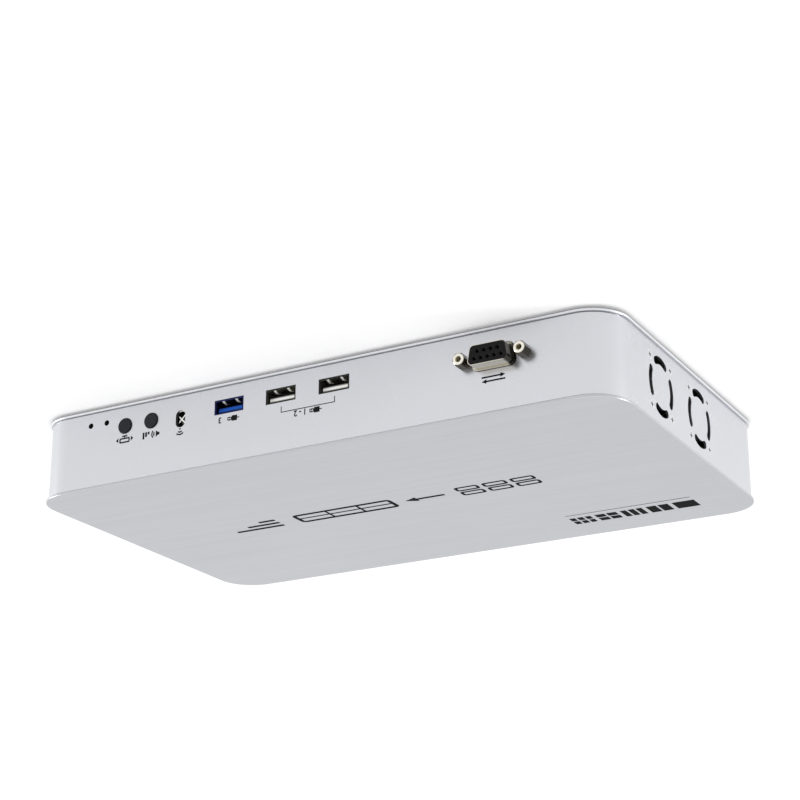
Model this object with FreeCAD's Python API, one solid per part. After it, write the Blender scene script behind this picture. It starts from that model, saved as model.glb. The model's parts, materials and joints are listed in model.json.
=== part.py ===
import FreeCAD, Part
import math
import os

# Video multiviewer: a flat aluminium case with socket rows in its front and rear faces,
# two buttons, a rocker switch and four small fans blowing through vents in its sides.
# Millimetres. +X right seen from the front, +Y towards the rear, +Z up.
# Origin: on the surface it stands on, under the middle of the case.

# Case plates and wall band
plate_length = 264.0
plate_depth = 158.0
plate_corner = 16.0
plate_thick = 1.2
plate_edge_round = 0.3
plate_overhang = 0.9
case_height = 35.0
band_wall = 1.0
band_edge_bevel = 0.35
seam_gap = 0.05

# Feet
foot_drop = 1.0
foot_radius = 6.0
foot_edge_round = 0.3
foot_inset = 26.0

# Case screws and the pillars that they pull down
pillar_radius = 2.75
pillar_inset = 9.2
side_pillar_inset = 6.4
case_screw_radius = 1.5
case_screw_length = 7.0
case_screw_head_radius = 2.7
case_screw_head_depth = 1.0
thread_clearance = 0.05

# Main board
board_thick = 1.6
board_side_gap = 1.0
board_flange_gap = 0.2
board_corner = 4.0
standoff_height = 3.0
standoff_radius = 2.5
board_screw_radius = 1.5
board_screw_length = 4.0
board_screw_head_radius = 2.75
board_screw_head_height = 1.9
board_screw_head_round = 0.6
standoff_end_inset = 6.6
standoff_edge_inset = 16.0
standoff_inner_x = 40.0

# Parts on the board
processor_side = 31.0
processor_height = 2.4
sink_side = 60.0
sink_base = 3.0
sink_fin_height = 12.0
sink_fin_thick = 1.2
sink_fin_count = 13
chip_side = 9.0
chip_height = 1.0
chip_row_inset = 29.1
memory_width = 9.0
memory_depth = 13.0
memory_x = 40.0
memory_y = 9.75
capacitor_radius = 4.0
capacitor_height = 10.5
capacitor_count = 4
capacitor_pitch = 10.5
capacitor_edge_round = 0.5
capacitor_end_inset = 30.5
capacitor_rear_inset = 41.1

# Sockets: what all of them share
port_clearance = 0.25
port_recess = 0.3
shell_wall = 0.25
leg_front_inset = 3.5
leg_rear_inset = 2.3
leg_length = 1.4
spring_inset = 1.0
spring_width = 1.7
spring_length = 5.0
spring_apex = 3.0
spring_rise = 0.5
spring_spacing = 6.2

# Video sockets in the rear face
video_height = 3.1
video_cut_width = 15.8
video_cut_height = 5.7
video_floor_width = 10.6
video_shoulder = 3.05
video_depth = 11.5
video_floor_block = 3.0
video_tongue_width = 11.2
video_tongue_thick = 1.3
video_tongue_lift = 0.55
video_tongue_recess = 1.0
video_in_count = 6
video_in_inset = 60.36
video_out_inset = 60.06
video_out_spacing = 3.22

# Data sockets in the front face
usb_height = 4.24
usb_cut_width = 13.84
usb_cut_height = 6.22
usb_depth = 14.0
usb_block = 4.5
usb_tongue_width = 11.1
usb_tongue_thick = 1.84
usb_tongue_top_gap = 0.6
usb_tongue_recess = 0.9
usb_inset = 97.81
usb_pitch = 24.37
usb_count = 3

# Network jack in the rear face
lan_inset = 33.6
lan_width = 16.0
lan_height = 13.6
lan_depth = 21.0
lan_wall = 0.3
lan_fit = 0.1
lan_mouth_width = 12.2
lan_mouth_floor = 1.0
lan_mouth_top = 12.9
lan_plug_top = 9.6
lan_latch_width = 6.6
lan_socket_depth = 13.0
lan_light_inner = 3.75
lan_light_outer = 7.45
lan_light_height = 2.35
lan_light_length = 6.0
lan_light_fit = 0.05

# Serial socket in the front face
serial_inset = 48.2
serial_height = 6.64
serial_width = 16.4
serial_tall = 7.9
serial_slope = 10.0
serial_corner = 1.9
serial_reach = 5.8
serial_shell_wall = 0.25
serial_cut_margin = 1.1
serial_cut_drop = 0.4
serial_flange_width = 30.8
serial_flange_height = 12.5
serial_flange_thick = 0.7
serial_flange_corner = 1.2
serial_body_width = 17.0
serial_body_depth = 8.0
serial_face_recess = 0.1
serial_hole_radius = 0.62
serial_hole_mouth = 0.95
serial_hole_depth = 5.0
serial_pin_pitch = 2.77
serial_row_gap = 2.84
jackscrew_pitch = 24.99
jackscrew_flats = 4.75
jackscrew_face_radius = 2.1
jackscrew_crown = 0.45
jackscrew_reach = 5.0
jackscrew_bore = 1.25
jackscrew_bore_depth = 4.8
jackscrew_stud_radius = 1.4
jackscrew_stud_length = 5.0
jackscrew_nut_flats = 6.35
jackscrew_nut_thick = 2.2

# Power inlet in the rear face
inlet_inset = 24.83
inlet_height = 5.4
inlet_width = 9.6
inlet_tall = 11.35
inlet_depth = 14.0
inlet_bore = 3.25
inlet_bore_lift = 1.1
inlet_bore_depth = 9.5
inlet_pin_radius = 1.05
inlet_pin_recess = 1.5
inlet_pin_round = 0.5
inlet_fit = 0.1

# Rocker switch in the rear face
switch_inset = 39.6
switch_height = 11.3
bezel_width = 13.5
bezel_tall = 21.0
bezel_thick = 1.2
bezel_side_rim = 2.0
bezel_end_rim = 1.75
bezel_edge_round = 0.4
switch_body_width = 12.4
switch_body_tall = 19.2
switch_body_depth = 12.0
switch_body_floor = 1.5
switch_fit = 0.15
rocker_gap = 0.25
rocker_tilt = 10.0
rocker_stand_out = 0.6
rocker_pivot_depth = 2.6
rocker_tail = 2.0
trunnion_radius = 1.0
trunnion_length = 0.5
trunnion_clearance = 0.05
trunnion_end_gap = 0.05
terminal_width = 4.8
terminal_thick = 0.8
terminal_length = 7.0
terminal_spacing = 8.0
switch_lead_radius = 0.8
switch_lead_bend = 5.0
switch_lead_stub = 1.0

# Push buttons in the front face
button_insets = (46.7, 59.79)
button_height = 3.91
button_radius = 3.3
button_clearance = 0.15
button_reach = 0.6
button_edge_round = 0.3
button_travel = 0.5
button_flange_radius = 4.4
button_flange_thick = 0.8
button_flange_gap = 0.1
button_stem_radius = 1.6
button_stem_length = 1.2
plunger_radius = 1.2
plunger_clearance = 0.05
plunger_length = 2.2
plunger_show = 0.3
push_switch_width = 6.2
push_switch_depth = 3.5
push_switch_height = 7.0

# Infrared receiver in the front face
eye_inset = 74.32
eye_height = 5.66
eye_slot_width = 4.6
eye_slot_tall = 7.4
eye_body_width = 5.6
eye_body_depth = 3.4
eye_body_height = 9.2
eye_dome_radius = 2.1
eye_dome_rise = 1.2
eye_shield_wall = 0.3
eye_shield_gap = 0.1
eye_window_margin = 0.3
eye_bar_width = 0.5

# Status lights
light_hole_radius = 1.2
light_height = 0.9
light_body_width = 2.6
light_body_height = 1.6
light_body_depth = 2.0
light_dome_radius = 0.7
front_light_insets = (28.92, 37.07)
light_off_middle = 0.63

# Fans behind the side vents
fan_side = 25.0
fan_thick = 10.0
fan_corner = 2.0
fan_hole_pitch = 20.0
fan_bore = 11.8
fan_height = 17.5
fan_pitch = 39.7
fan_left_first_y = -31.7
fan_right_first_y = -29.8
fan_plate_radius = 5.4
fan_plate_thick = 1.4
fan_strut_width = 1.6
fan_strut_count = 3
fan_join = 0.5
fan_bearing_floor = 0.7
fan_tube_radius = 1.9
fan_tube_end = 3.0
fan_stator_radius = 4.1
fan_stator_gap = 0.3
rotor_tip_radius = 11.0
rotor_hub_radius = 5.6
rotor_cup_wall = 0.9
rotor_end_gap = 0.8
rotor_blade_count = 7
rotor_blade_pitch = 38.0
rotor_blade_thick = 0.7
rotor_blade_chord = 7.6
shaft_radius = 0.75
shaft_clearance = 0.04
vent_mean_radius = 10.5
vent_width = 3.2
vent_span = 70.0
fan_screw_radius = 1.25
fan_screw_length = 7.0
fan_screw_head_radius = 2.1
fan_screw_head_depth = 0.85
cross_width = 0.5
cross_length = 2.4
cross_depth = 0.5
header_length = 5.0
header_width = 4.0
header_height = 2.5
fan_lead_radius = 0.55
fan_lead_bend = 3.4
fan_lead_stub = 0.6
fan_lead_side = 11.2
fan_lead_drop = 4.6

# Worked out from the sizes above
base_top = foot_drop + plate_thick
cover_under = foot_drop + case_height - plate_thick
band_length = plate_length - 2 * plate_overhang
band_depth = plate_depth - 2 * plate_overhang
band_corner = plate_corner - plate_overhang
inner_x = band_length / 2 - band_wall
board_top = base_top + standoff_height + board_thick
button_flange_y = band_wall + button_flange_gap
button_stem_y = button_flange_y + button_flange_thick
board_edge_y = button_stem_y + button_travel + board_flange_gap
fan_z = foot_drop + fan_height
left_end, right_end = -plate_length / 2, plate_length / 2
video_out_x = left_end + video_out_inset
video_in_first_x = right_end - video_in_inset
video_in_pitch = (video_in_first_x - video_out_x - video_out_spacing) / video_in_count
video_in_xs = [video_in_first_x - i * video_in_pitch for i in range(video_in_count)]
lan_x = left_end + lan_inset
inlet_x = right_end - inlet_inset
switch_x = right_end - switch_inset
serial_x = left_end + serial_inset
usb_xs = [right_end - usb_inset - i * usb_pitch for i in reversed(range(usb_count))]
button_xs = [right_end - inset_x for inset_x in button_insets]
eye_x = right_end - eye_inset
eye_face_y = band_wall + eye_shield_wall + eye_shield_gap + eye_dome_rise
light_beside_socket = video_in_pitch / 2 - light_off_middle
front_light_xs = [right_end - inset_x for inset_x in front_light_insets]
rear_light_xs = [x - light_beside_socket for x in video_in_xs + [video_out_x]]
fan_places = [(-1, fan_left_first_y), (-1, fan_left_first_y + fan_pitch),
              (1, fan_right_first_y), (1, fan_right_first_y + fan_pitch)]
well_width = bezel_width - 2 * bezel_side_rim
well_reach = bezel_tall / 2 - bezel_end_rim
rocker_half_width = well_width / 2 - rocker_gap
rocker_reach = well_reach - rocker_gap
pivot_y = rocker_pivot_depth - bezel_thick - rocker_stand_out
pillar_x = plate_length / 2 - pillar_inset
pillar_y = plate_depth / 2 - pillar_inset
side_pillar_x = band_length / 2 - side_pillar_inset
pillar_places = [(-pillar_x, -pillar_y), (pillar_x, -pillar_y), (-pillar_x, pillar_y),
                 (pillar_x, pillar_y), (-side_pillar_x, fan_left_first_y + fan_pitch / 2),
                 (side_pillar_x, fan_right_first_y + fan_pitch / 2)]
board_half_x = inner_x - fan_thick - board_side_gap
board_half_y = band_depth / 2 - board_edge_y
standoff_outer_x = board_half_x - standoff_end_inset
standoff_y = board_half_y - standoff_edge_inset
standoff_places = [(x, y) for x in (-standoff_outer_x, -standoff_inner_x, standoff_inner_x,
                                    standoff_outer_x) for y in (-standoff_y, standoff_y)]

X_AXIS = FreeCAD.Vector(1, 0, 0)
Y_AXIS = FreeCAD.Vector(0, 1, 0)
Z_AXIS = FreeCAD.Vector(0, 0, 1)
THROUGH = 2.0
HAIR = 1e-4


def vec(x, y, z):
    return FreeCAD.Vector(x, y, z)


def block(x0, x1, y0, y1, z0, z1):
    return Part.makeBox(x1 - x0, y1 - y0, z1 - z0, vec(x0, y0, z0))


def rod(radius, length, x, y, z, axis):
    return Part.makeCylinder(radius, length, vec(x, y, z), axis)


def moved(shape, x, y, z):
    copy = shape.copy()
    copy.translate(vec(x, y, z))
    return copy


def turned(shape, angle, axis, x=0.0, y=0.0, z=0.0):
    copy = shape.copy()
    copy.rotate(vec(x, y, z), axis, angle)
    return copy


def along(shape, axis):
    """The straight edges of a shape that run along one axis."""
    picked = []
    for edge in shape.Edges:
        if isinstance(edge.Curve, Part.Line):
            if edge.Curve.Direction.cross(axis).Length < HAIR:
                picked.append(edge)
    return picked


def level_edges(shape, z):
    """The edges of a shape that lie wholly at one height."""
    box_fits = []
    for edge in shape.Edges:
        bound = edge.BoundBox
        if abs(bound.ZMin - z) < HAIR and abs(bound.ZMax - z) < HAIR:
            box_fits.append(edge)
    return box_fits


def slab(length, depth, corner, z0, z1):
    """An upright prism on a rectangle with rounded corners, centred on the origin."""
    prism = block(-length / 2, length / 2, -depth / 2, depth / 2, z0, z1)
    return prism.makeFillet(corner, along(prism, Z_AXIS))


def prism_y(points, y0, y1):
    """A prism along Y on a closed outline of (x, z) points."""
    corners = [vec(x, y0, z) for x, z in points]
    face = Part.Face(Part.makePolygon(corners + corners[:1]))
    return face.extrude(vec(0, y1 - y0, 0))


def inset(points, distance):
    """The outline of (x, z) points, anticlockwise, moved inwards by a distance."""
    count = len(points)
    result = []
    for i in range(count):
        before, here, after = points[i - 1], points[i], points[(i + 1) % count]
        ax, az = here[0] - before[0], here[1] - before[1]
        bx, bz = after[0] - here[0], after[1] - here[1]
        a_len, b_len = math.hypot(ax, az), math.hypot(bx, bz)
        ax, az, bx, bz = ax / a_len, az / a_len, bx / b_len, bz / b_len
        share = distance / (1 + ax * bx + az * bz)
        result.append((here[0] - (az + bz) * share, here[1] + (ax + bx) * share))
    return result


def rectangle(width, tall, middle_z):
    """The corner points, anticlockwise, of an upright rectangle."""
    low, high = middle_z - tall / 2, middle_z + tall / 2
    return [(-width / 2, low), (width / 2, low), (width / 2, high), (-width / 2, high)]


def hex_rod(flats, length, x, y, z):
    """A hexagonal rod along +Y from a point, with a flat side on top."""
    reach = flats / 2 / math.cos(math.pi / 6)
    points = [(x + reach * math.cos(i * math.pi / 3), z + reach * math.sin(i * math.pi / 3))
              for i in range(6)]
    return prism_y(points, y, y + length)


def at_front(shape, x):
    """Place a shape made facing -Y, its y zero on the front face, z zero on the board."""
    return moved(shape, x, -band_depth / 2, board_top)


def at_rear(shape, x):
    """Place the same kind of shape in the rear face, turned to look backwards."""
    return moved(turned(shape, 180, Z_AXIS), x, band_depth / 2, board_top)


def save(node, shapes):
    """Write one sub-part, as one solid or as a group of separate solids."""
    group = shapes if isinstance(shapes, list) else [shapes]
    solids = [solid for shape in group for solid in shape.Solids]
    part = solids[0] if len(solids) == 1 else Part.makeCompound(solids)
    part.exportStep("parts/" + node + ".step")


# Case

def top_cover():
    top = foot_drop + case_height
    plate = slab(plate_length, plate_depth, plate_corner, cover_under, top)
    plate = plate.makeFillet(plate_edge_round, level_edges(plate, top))
    return plate.makeFillet(plate_edge_round, level_edges(plate, cover_under))


def base_plate():
    plate = slab(plate_length, plate_depth, plate_corner, foot_drop, base_top)
    plate = plate.makeFillet(plate_edge_round, level_edges(plate, foot_drop))
    plate = plate.makeFillet(plate_edge_round, level_edges(plate, base_top))
    cuts = []
    for x, y in pillar_places:
        hole = case_screw_radius + thread_clearance
        head = case_screw_head_radius + thread_clearance
        cuts.append(Part.makeCone(head, hole, case_screw_head_depth, vec(x, y, foot_drop)))
        cuts.append(rod(hole, plate_thick, x, y, foot_drop, Z_AXIS))
    return plate.cut(cuts)


def rubber_feet():
    feet = []
    for x_side in (-1, 1):
        for y_side in (-1, 1):
            x = x_side * (plate_length / 2 - foot_inset)
            y = y_side * (plate_depth / 2 - foot_inset)
            foot = rod(foot_radius, foot_drop, x, y, 0, Z_AXIS)
            feet.append(foot.makeFillet(foot_edge_round, level_edges(foot, 0)))
    return feet


def cover_pillars():
    pillars = []
    bore_length = case_screw_length - plate_thick + THROUGH
    for x, y in pillar_places:
        pillar = rod(pillar_radius, cover_under - base_top, x, y, base_top, Z_AXIS)
        bore = rod(case_screw_radius + thread_clearance, bore_length, x, y, base_top, Z_AXIS)
        pillars.append(pillar.cut(bore))
    return pillars


def case_screws():
    screws = []
    for x, y in pillar_places:
        head = Part.makeCone(case_screw_head_radius, case_screw_radius,
                             case_screw_head_depth, vec(x, y, foot_drop))
        shank = rod(case_screw_radius, case_screw_length, x, y, foot_drop, Z_AXIS)
        screws.append(head.fuse(shank).cut(cross_cut(x, y, foot_drop, Z_AXIS)))
    return screws


def cross_cut(x, y, z, inwards):
    """The cross recess of a screw head, cut inwards from the head's outer face."""
    half, thin = cross_length / 2, cross_width / 2
    bars = block(-half, half, -thin, thin, 0, cross_depth)
    bars = bars.fuse(block(-thin, thin, -half, half, 0, cross_depth))
    turn = FreeCAD.Rotation(Z_AXIS, inwards)
    bars.Placement = FreeCAD.Placement(vec(x, y, z), turn)
    return bars


def arc_slot(length):
    """One arc slot along X, its middle straight up, as a solid to cut with."""
    end_half = math.asin(vent_width / 2 / vent_mean_radius)
    half = math.radians(vent_span / 2) - end_half
    inner, outer = vent_mean_radius - vent_width / 2, vent_mean_radius + vent_width / 2

    def spot(radius, angle):
        return vec(0, radius * math.sin(angle), radius * math.cos(angle))

    def cap(angle, sign):
        middle = spot(vent_mean_radius, angle)
        bulge = vec(0, math.cos(angle), -math.sin(angle)) * (sign * vent_width / 2)
        return middle + bulge

    edges = [Part.Arc(spot(outer, -half), spot(outer, 0), spot(outer, half)).toShape(),
             Part.Arc(spot(outer, half), cap(half, 1), spot(inner, half)).toShape(),
             Part.Arc(spot(inner, half), spot(inner, 0), spot(inner, -half)).toShape(),
             Part.Arc(spot(inner, -half), cap(-half, -1), spot(outer, -half)).toShape()]
    return Part.Face(Part.Wire(edges)).extrude(vec(length, 0, 0))


def fan_hole_spots():
    half = fan_hole_pitch / 2
    return [(y, z) for y in (-half, half) for z in (-half, half)]


def side_cuts():
    """Vents and countersunk screw holes in the two side walls."""
    cuts = []
    length = band_wall + 2 * THROUGH
    for side, fan_y in fan_places:
        start_x = side * (band_length / 2 - band_wall / 2) - length / 2
        slot = arc_slot(length)
        for quarter in range(4):
            cuts.append(moved(turned(slot, 90 * quarter, X_AXIS), start_x, fan_y, fan_z))
        for y, z in fan_hole_spots():
            hole = fan_screw_radius + thread_clearance
            head = fan_screw_head_radius + thread_clearance
            outside = side * band_length / 2
            cuts.append(rod(hole, length, start_x, fan_y + y, fan_z + z, X_AXIS))
            cuts.append(Part.makeCone(head, hole, fan_screw_head_depth,
                                      vec(outside, fan_y + y, fan_z + z), X_AXIS * -side))
    return cuts


def wall_cut(points):
    """A cutter through one wall on an outline of (x, z) points."""
    return prism_y(points, -THROUGH, band_wall + THROUGH)


def round_wall_cut(radius, z):
    return rod(radius, band_wall + 2 * THROUGH, 0, -THROUGH, z, Y_AXIS)


def eye_slot(extra):
    """The upright slot of the infrared receiver, wider by a margin all round."""
    radius = eye_slot_width / 2 + extra
    reach = (eye_slot_tall - eye_slot_width) / 2
    y0, length = -THROUGH, band_wall + 2 * THROUGH
    body = block(-radius, radius, y0, y0 + length, eye_height - reach, eye_height + reach)
    for z in (eye_height - reach, eye_height + reach):
        body = body.fuse(rod(radius, length, 0, y0, z, Y_AXIS))
    return body.removeSplitter()


def front_cuts():
    cuts = [at_front(wall_cut(rectangle(usb_cut_width, usb_cut_height, usb_height)), x)
            for x in usb_xs]
    button_hole = round_wall_cut(button_radius + button_clearance, button_height)
    cuts += [at_front(button_hole, x) for x in button_xs]
    cuts += [at_front(round_wall_cut(light_hole_radius, light_height), x)
             for x in front_light_xs]
    cuts.append(at_front(eye_slot(0.0), eye_x))
    collar_hole = serial_prism(serial_cut_margin, -THROUGH, band_wall + THROUGH)
    cuts.append(at_front(moved(collar_hole, 0, 0, -serial_cut_drop), serial_x))
    stud_hole = round_wall_cut(jackscrew_stud_radius + thread_clearance, serial_height)
    for side in (-1, 1):
        cuts.append(at_front(stud_hole, serial_x + side * jackscrew_pitch / 2))
    return cuts


def rear_cuts():
    video = wall_cut(video_outline(0.0))
    cuts = [at_rear(video, x) for x in video_in_xs + [video_out_x]]
    cuts += [at_rear(round_wall_cut(light_hole_radius, light_height), x)
             for x in rear_light_xs]
    lan = block(-lan_width / 2 - lan_fit, lan_width / 2 + lan_fit, -THROUGH,
                band_wall + THROUGH, -lan_fit, lan_height + lan_fit)
    cuts.append(at_rear(lan, lan_x))
    inlet = wall_cut(rectangle(inlet_width, inlet_tall, inlet_height))
    cuts.append(at_rear(inlet, inlet_x))
    switch = wall_cut(rectangle(switch_body_width + 2 * switch_fit,
                                switch_body_tall + 2 * switch_fit, switch_height))
    cuts.append(at_rear(switch, switch_x))
    return cuts


def wall_band():
    low, high = base_top + seam_gap, cover_under - seam_gap
    band = slab(band_length, band_depth, band_corner, low, high)
    band = band.makeChamfer(band_edge_bevel, level_edges(band, low))
    band = band.makeChamfer(band_edge_bevel, level_edges(band, high))
    hollow = slab(band_length - 2 * band_wall, band_depth - 2 * band_wall,
                  band_corner - band_wall, low - THROUGH, high + THROUGH)
    return band.cut([hollow] + side_cuts() + front_cuts() + rear_cuts())


# Board and what stands on it

def main_board():
    board = slab(2 * board_half_x, 2 * board_half_y, board_corner,
                 board_top - board_thick, board_top)
    hole = board_screw_radius + thread_clearance
    holes = [rod(hole, board_thick, x, y, board_top - board_thick, Z_AXIS)
             for x, y in standoff_places]
    return board.cut(holes)


def board_standoffs():
    posts = []
    for x, y in standoff_places:
        post = rod(standoff_radius, standoff_height, x, y, base_top, Z_AXIS)
        bore = rod(board_screw_radius + thread_clearance, standoff_height, x, y, base_top, Z_AXIS)
        posts.append(post.cut(bore))
    return posts


def board_screws():
    screws = []
    for x, y in standoff_places:
        head = rod(board_screw_head_radius, board_screw_head_height, x, y, board_top, Z_AXIS)
        top = board_top + board_screw_head_height
        head = head.makeFillet(board_screw_head_round, level_edges(head, top))
        shank = rod(board_screw_radius, board_screw_length, x, y,
                    board_top - board_screw_length, Z_AXIS)
        screws.append(head.fuse(shank).cut(cross_cut(x, y, top, Z_AXIS * -1)))
    return screws


def video_processor():
    half = processor_side / 2
    return block(-half, half, -half, half, board_top, board_top + processor_height)


def heat_sink():
    half = sink_side / 2
    foot = board_top + processor_height
    sink = block(-half, half, -half, half, foot, foot + sink_base)
    step = (sink_side - sink_fin_thick) / (sink_fin_count - 1)
    fins = [block(-half, half, -half + i * step, -half + i * step + sink_fin_thick,
                  foot + sink_base, foot + sink_base + sink_fin_height)
            for i in range(sink_fin_count)]
    return sink.fuse(fins).removeSplitter()


def board_chips():
    """A receiver chip behind each video socket, and memory chips beside the processor."""
    chips = []
    half = chip_side / 2
    row_y = band_depth / 2 - chip_row_inset
    for x in video_in_xs + [video_out_x]:
        chips.append(block(x - half, x + half, row_y - half, row_y + half,
                           board_top, board_top + chip_height))
    for x_side in (-1, 1):
        for y_side in (-1, 1):
            x, y = x_side * memory_x, y_side * memory_y
            chips.append(block(x - memory_width / 2, x + memory_width / 2,
                               y - memory_depth / 2, y + memory_depth / 2,
                               board_top, board_top + chip_height))
    return chips


def capacitors():
    cans = []
    y = band_depth / 2 - capacitor_rear_inset
    top = board_top + capacitor_height
    for i in range(capacitor_count):
        x = right_end - capacitor_end_inset - i * capacitor_pitch
        can = rod(capacitor_radius, capacitor_height, x, y, board_top, Z_AXIS)
        cans.append(can.makeFillet(capacitor_edge_round, level_edges(can, top)))
    return cans


# Video sockets

def video_outline(gap):
    """The socket's outline: wide above, its two lower corners cut off."""
    low, high = video_height - video_cut_height / 2, video_height + video_cut_height / 2
    wide, narrow = video_cut_width / 2, video_floor_width / 2
    points = [(-narrow, low), (narrow, low), (wide, high - video_shoulder), (wide, high),
              (-wide, high), (-wide, high - video_shoulder)]
    return inset(points, gap)


def legs(half_width, low, end):
    """Thin shell legs that carry a socket's shell, which ends at a depth, on the board."""
    feet = []
    for side in (-1, 1):
        outer = side * half_width
        inner = side * (half_width - shell_wall)
        for y in (port_recess + leg_front_inset, end - leg_rear_inset):
            feet.append(block(min(outer, inner), max(outer, inner), y, y + leg_length, 0, low))
    return feet


def floor_springs(low):
    """Two sprung contact strips that rise inwards from a shell's floor."""
    springs = []
    start = port_recess + spring_inset
    rooted = low - shell_wall / 2
    for side in (-1, 1):
        x = side * spring_spacing / 2 - spring_width / 2
        side_view = Part.makePolygon([vec(x, start, rooted),
                                      vec(x, start + spring_apex, low + spring_rise),
                                      vec(x, start + spring_length, rooted),
                                      vec(x, start, rooted)])
        springs.append(Part.Face(side_view).extrude(vec(spring_width, 0, 0)))
    return springs


def video_shell():
    end = port_recess + video_depth
    shell = prism_y(video_outline(port_clearance), port_recess, end)
    shell = shell.cut(prism_y(video_outline(port_clearance + shell_wall),
                              port_recess - THROUGH, end + THROUGH))
    half = video_cut_width / 2 - port_clearance
    shoulder = video_height + video_cut_height / 2 - video_shoulder
    low = video_height - video_cut_height / 2 + port_clearance + shell_wall
    feet = legs(half, shoulder + shell_wall, end)
    return shell.fuse(feet + floor_springs(low)).removeSplitter()


def video_tongue():
    """The black insulator: a block at the socket's end and the tongue before it."""
    end = port_recess + video_depth
    gap = port_clearance + shell_wall
    tail = prism_y(video_outline(gap), end - video_floor_block, end)
    middle = video_height + video_tongue_lift
    tongue = block(-video_tongue_width / 2, video_tongue_width / 2,
                   port_recess + video_tongue_recess, end - video_floor_block,
                   middle - video_tongue_thick / 2, middle + video_tongue_thick / 2)
    return tail.fuse(tongue).removeSplitter()


# Data sockets

def usb_shell():
    end = port_recess + usb_depth
    outer = rectangle(usb_cut_width, usb_cut_height, usb_height)
    shell = prism_y(inset(outer, port_clearance), port_recess, end)
    shell = shell.cut(prism_y(inset(outer, port_clearance + shell_wall),
                              port_recess - THROUGH, end + THROUGH))
    half = usb_cut_width / 2 - port_clearance
    low = usb_height - usb_cut_height / 2 + port_clearance + shell_wall
    return shell.fuse(legs(half, low, end) + floor_springs(low)).removeSplitter()


def usb_tongue():
    end = port_recess + usb_depth
    outer = rectangle(usb_cut_width, usb_cut_height, usb_height)
    tail = prism_y(inset(outer, port_clearance + shell_wall), end - usb_block, end)
    high = usb_height + usb_cut_height / 2 - port_clearance - shell_wall - usb_tongue_top_gap
    tongue = block(-usb_tongue_width / 2, usb_tongue_width / 2,
                   port_recess + usb_tongue_recess, end - usb_block,
                   high - usb_tongue_thick, high)
    return tail.fuse(tongue).removeSplitter()


# Network jack

def lan_mouth(y0, y1):
    return block(-lan_mouth_width / 2, lan_mouth_width / 2, y0, y1,
                 lan_mouth_floor, lan_mouth_top)


def lan_light(side, gap, y0, y1):
    """The body of one corner light, or its pocket when the gap is negative."""
    inner, outer = side * (lan_light_inner + gap), side * (lan_light_outer - gap)
    return block(min(inner, outer), max(inner, outer), y0, y1,
                 lan_mouth_top - lan_light_height + gap, lan_mouth_top - gap)


def lan_shield():
    half = lan_width / 2
    shield = block(-half, half, 0, lan_depth, 0, lan_height)
    hollow = block(-half + lan_wall, half - lan_wall, lan_wall, lan_depth + THROUGH,
                   lan_wall, lan_height - lan_wall)
    cuts = [hollow, lan_mouth(-THROUGH, THROUGH)]
    cuts += [lan_light(side, 0.0, -THROUGH, THROUGH) for side in (-1, 1)]
    return shield.cut(cuts)


def lan_housing():
    half = lan_width / 2 - lan_wall
    body = block(-half, half, lan_wall, lan_depth, lan_wall, lan_height - lan_wall)
    plug = block(-lan_mouth_width / 2, lan_mouth_width / 2, 0, lan_socket_depth,
                 lan_mouth_floor, lan_plug_top)
    latch = block(-lan_latch_width / 2, lan_latch_width / 2, 0, lan_socket_depth,
                  lan_plug_top, lan_mouth_top)
    lights = [lan_light(side, -lan_light_fit, 0, lan_light_length) for side in (-1, 1)]
    return body.cut([plug, latch] + lights)


def lan_corner_light(side):
    return lan_light(side, lan_light_fit, lan_light_fit, lan_light_length)


# Serial socket

def serial_prism(margin, y0, y1):
    """A D-shaped prism, wide side up, grown by a margin all round. The width is over its
    rounded corners, so the sharp outline that they are cut from is a little wider."""
    slope, corner = math.radians(serial_slope), serial_corner + margin
    cut_off = corner * (math.tan(slope) + 1 / math.cos(slope) - 1)
    width, tall = serial_width + 2 * (margin + cut_off), serial_tall + 2 * margin
    narrow = width - 2 * tall * math.tan(slope)
    low, high = serial_height - tall / 2, serial_height + tall / 2
    points = [(-narrow / 2, low), (narrow / 2, low), (width / 2, high), (-width / 2, high)]
    prism = prism_y(points, y0, y1)
    return prism.makeFillet(corner, along(prism, Y_AXIS))


def serial_shell():
    flange_end = band_wall + serial_flange_thick
    flange = prism_y(rectangle(serial_flange_width, serial_flange_height, serial_height),
                     band_wall, flange_end)
    flange = flange.makeFillet(serial_flange_corner, along(flange, Y_AXIS))
    collar = serial_prism(0.0, -serial_reach, band_wall)
    inside = serial_prism(-serial_shell_wall, -serial_reach - THROUGH, flange_end + THROUGH)
    holes = [rod(jackscrew_stud_radius + thread_clearance, THROUGH * 2,
                 side * jackscrew_pitch / 2, 0, serial_height, Y_AXIS) for side in (-1, 1)]
    return flange.fuse(collar).cut([inside] + holes).removeSplitter()


def serial_pin_spots():
    """Five holes in the upper row and four between them in the lower row."""
    spots = []
    for count, side in ((5, 1), (4, -1)):
        first = -(count - 1) / 2 * serial_pin_pitch
        for i in range(count):
            spots.append((first + i * serial_pin_pitch, serial_height + side * serial_row_gap / 2))
    return spots


def serial_insulator():
    face = -serial_reach + serial_face_recess
    flange_end = band_wall + serial_flange_thick
    nose = serial_prism(-serial_shell_wall - thread_clearance, face, flange_end)
    body = block(-serial_body_width / 2, serial_body_width / 2, flange_end,
                 flange_end + serial_body_depth, 0,
                 serial_height + serial_tall / 2 + serial_shell_wall)
    holes = []
    for x, z in serial_pin_spots():
        holes.append(rod(serial_hole_radius, serial_hole_depth, x, face, z, Y_AXIS))
        mouth_depth = serial_hole_mouth - serial_hole_radius
        holes.append(Part.makeCone(serial_hole_mouth, serial_hole_radius, mouth_depth,
                                   vec(x, face, z), Y_AXIS))
    return nose.fuse(body).cut(holes)


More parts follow.
